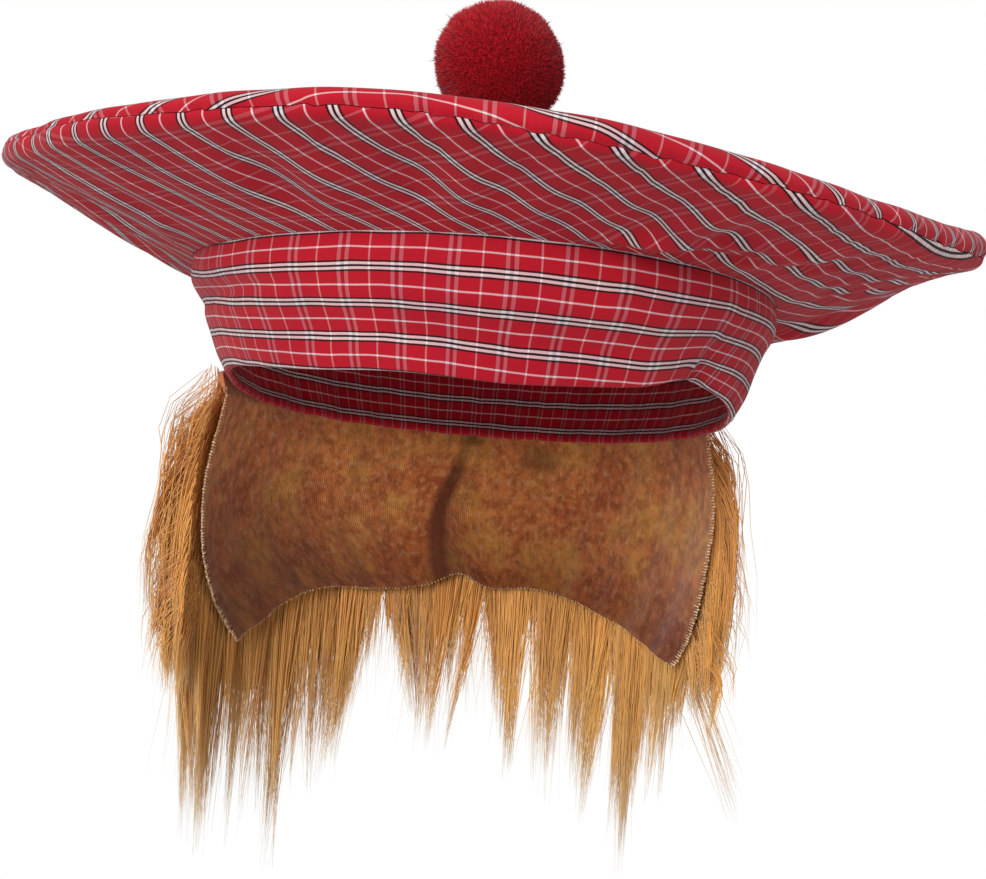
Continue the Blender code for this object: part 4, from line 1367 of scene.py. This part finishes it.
# %% Turn the paths into rods
def strands_object(name, paths, tone, width, below):
    """Three-sided tapered rods along every path."""
    run = np.gradient(paths, axis=1)
    run /= np.maximum(np.linalg.norm(run, axis=-1, keepdims=True), 1e-9)
    side = np.cross(run, np.array([0.35, 0.25, 0.9]))
    side /= np.maximum(np.linalg.norm(side, axis=-1, keepdims=True), 1e-9)
    t = STRAND_STEPS[0]
    taper = (0.6 + 0.4 * np.minimum(t * 3, 1)) * (1 - 0.9 * t**2)
    thick = width[:, None] * taper
    points, faces, caps, ring = swept_rods(paths, side, np.cross(run, side), thick, 3)
    down = below[:, np.stack([ring, ring, ring + 1, ring + 1], 1)]
    corners = np.stack(np.broadcast_arrays(tone[:, None, None], down), -1).reshape(-1, 2)
    piece = mesh_object(name, points, faces, {"OFBake": corners}, caps)
    print(f"{name}: {len(paths)} strands, {2 * len(faces) + len(caps)} triangles")
    return piece


# %% Build the strands in three pieces
FUR_PIECES = 3
fur_chance = np.random.default_rng(77)
locked = strand_paths(fur_chance, LOCKS, STRANDS_PER_LOCK)
stray = stray_paths(fur_chance, STRAY_STRANDS)
curved = curved_lock(fur_chance, 36)
strands = [np.concatenate(parts) for parts in zip(locked, stray, curved)]
shuffled = fur_chance.permutation(len(strands[0]))
fur_pieces = []
for part in range(FUR_PIECES):
    mine = np.sort(shuffled[part::FUR_PIECES])
    fur_pieces.append(strands_object(f"fur_strands_{part + 1}", *[each[mine] for each in strands]))

# %% [markdown]
# ### The fur's colour
#
# A real fibre has one tone of its own, and the whole pile pales towards its tips. So a strand's map
# holds its tone and how far down each ring lies. The mass is streaked the way that the fibres hang,
# with painted shade in the dark streaks between them.

# %% The fur's materials
def fall_colour(tree, down):
    """Ginger for half its length, then paler, to light gold at the tips."""
    return ramp(tree, down, (0.0, seen(255, 188, 104)), (0.35, seen(255, 190, 100)),
                (0.60, seen(255, 200, 108)), (0.80, seen(255, 212, 134)), (1.0, seen(255, 230, 184)))


def strand_material():
    """Ginger fibres, each of one tone."""
    material, tree, shader = new_material("ginger_fur", 0.50, sheen=0.30, specular=0.16)
    place = add(tree, "UVMap", {}, uv_map="OFBake").outputs["UV"]
    split = add(tree, "SeparateXYZ", {"Vector": place})
    tone = ramp(tree, split.outputs["X"], (0.0, seen(206, 172, 152)), (0.40, seen(246, 236, 228)),
                (1.0, seen(255, 255, 255)))
    colour = blended(tree, 1.0, fall_colour(tree, split.outputs["Y"]), tone, way="MULTIPLY")
    tree.links.new(colour, shader.inputs["Base Color"])
    return material


def mass_material():
    """The soft mass of the pile, streaked with fibre tone and painted shade in the gaps between fibres.
    """
    material, tree, shader = new_material("ginger_fur_mass", 0.6, sheen=0.1, specular=0.15)
    place = add(tree, "UVMap", {}, uv_map="cloth").outputs["UV"]
    split = add(tree, "SeparateXYZ", {"Vector": place})
    stretched = add(tree, "Mapping", {"Vector": place, "Scale": (1.0, 0.06, 1.0)}).outputs[0]
    fine = add(tree, "TexNoise", {"Vector": stretched, "Scale": 1500.0, "Detail": 3.0}).outputs["Fac"]
    broad = add(tree, "TexNoise", {"Vector": stretched, "Scale": 180.0, "Detail": 2.0}).outputs["Fac"]
    mixed = maths(tree, "ADD", maths(tree, "MULTIPLY", fine, 0.6), maths(tree, "MULTIPLY", broad, 0.4))
    # Partly painted shade: the dark streaks stand for shade in the gaps between fibres, and the rest is
    # fibre tone.
    streak_tone_and_gap_shade = ramp(tree, mixed, (0.36, seen(150, 118, 96)), (0.5, seen(212, 190, 174)),
                  (0.62, seen(255, 255, 255)))
    down = maths(tree, "DIVIDE", split.outputs["Y"], HAIR_DROP)
    colour = blended(tree, 1.0, fall_colour(tree, down), streak_tone_and_gap_shade, way="MULTIPLY")
    tree.links.new(colour, shader.inputs["Base Color"])
    bump = add(tree, "Bump", {"Height": fine, "Strength": 0.8, "Distance": 0.0008})
    tree.links.new(bump.outputs["Normal"], shader.inputs["Normal"])
    return material


fur_mass.data.materials.append(mass_material())
fur_coat = strand_material()
for piece in fur_pieces:
    piece.data.materials.append(fur_coat)

# %% [markdown]
# ## Seating every piece
#
# Each piece rides on the one body of the model, and the solid that it stands for is hidden. Each row
# also names the finish that the piece shows, which the code doesn't use.

# %% Ride and replace
SEATS = [
    (crown_top, "crown_top", "tartan_cloth"),
    (underside, "crown_underside", "tartan_cloth"),
    (headband, "headband", "tartan_cloth"),
    (pompom_pile, "pompom", "red_pile"),
    (pompom_ball, "pompom", "red_pile"),
    (backing, "hair_backing", "knit_backing"),
    (fur_mass, "hair", "ginger_fur"),
]
SEATS += [(row, "hair_backing", "knit_backing") for row in stitches]
SEATS += [(piece, "hair", "ginger_fur") for piece in fur_pieces]
for piece, node, finish in SEATS:
    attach(piece, "root")
    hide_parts(node)

print(len(SEATS), "pieces seated")

# %% [markdown]
# ## Floor, backdrop and light
#
# The bonnet is shown held up over a round pale floor in a bright room with no walls. A white surround
# gives the backdrop of a product picture and part of its light. Most of the light comes from low in
# front, a little from the left, which is what shows the band's folds under the wide brim. A weaker
# and softer lamp from above lights the pompom and the crown.

# %% Stage and lamps
FLOOR_HEIGHT = -0.42
FLOOR_RADIUS = 1.35
ROOM_LIGHT = 0.46


def plain_floor():
    bpy.ops.mesh.primitive_circle_add(vertices=128, radius=FLOOR_RADIUS, fill_type="NGON",
                                      location=(0, 0, FLOOR_HEIGHT))
    floor = bpy.context.object
    floor.name = "floor"
    material, _, shader = new_material("pale_floor", 0.9, specular=0.0)
    shader.inputs["Base Color"].default_value = (0.72, 0.72, 0.72, 1)
    floor.data.materials.append(material)
    floor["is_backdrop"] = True


def white_room():
    """A white backdrop, which lights the bonnet less than it shows."""
    world = bpy.data.worlds.new("white_room")
    world.use_nodes = True
    tree = world.node_tree
    path = add(tree, "LightPath", {})
    strength = maths(tree, "MAXIMUM", path.outputs["Is Camera Ray"], ROOM_LIGHT)
    tree.nodes["Background"].inputs["Color"].default_value = (1, 1, 1, 1)
    tree.links.new(strength, tree.nodes["Background"].inputs["Strength"])
    bpy.context.scene.world = world


def soft_sun(name, azimuth, elevation, softness, strength):
    """A wide distant lamp. Azimuth 0 is behind the camera and 90 is at the right."""
    data = bpy.data.lights.new(name, "SUN")
    data.angle = math.radians(softness)
    data.energy = strength
    lamp = bpy.data.objects.new(name, data)
    bpy.context.scene.collection.objects.link(lamp)
    level = math.cos(math.radians(elevation))
    toward = Vector((-level * math.sin(math.radians(azimuth)),
                     level * math.cos(math.radians(azimuth)), -math.sin(math.radians(elevation))))
    lamp.rotation_euler = toward.to_track_quat("-Z", "Y").to_euler()


plain_floor()
white_room()
bpy.context.scene.view_settings.view_transform = "Standard"
soft_sun("key_lamp", azimuth=-20, elevation=11, softness=24, strength=2.0)
soft_sun("top_lamp", azimuth=-30, elevation=62, softness=40, strength=0.6)
print("floor, room and", len(bpy.data.lights), "lamps are in place")

# %% [markdown]
# ## Comparing the boxes
#
# The dressed bonnet is meant to keep the size of the solid one, apart from a little pile that stands
# proud. Both boxes are printed, in millimetres.

# %% Measure and finish
dressed_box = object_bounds()
sizes = {
    "cad": [list(corner) for corner in solid_box],
    "visual": [list(corner) for corner in dressed_box],
}
for name, (low, high) in sizes.items():
    print(name, [round((b - a) * 1000, 1) for a, b in zip(low, high)], "mm")
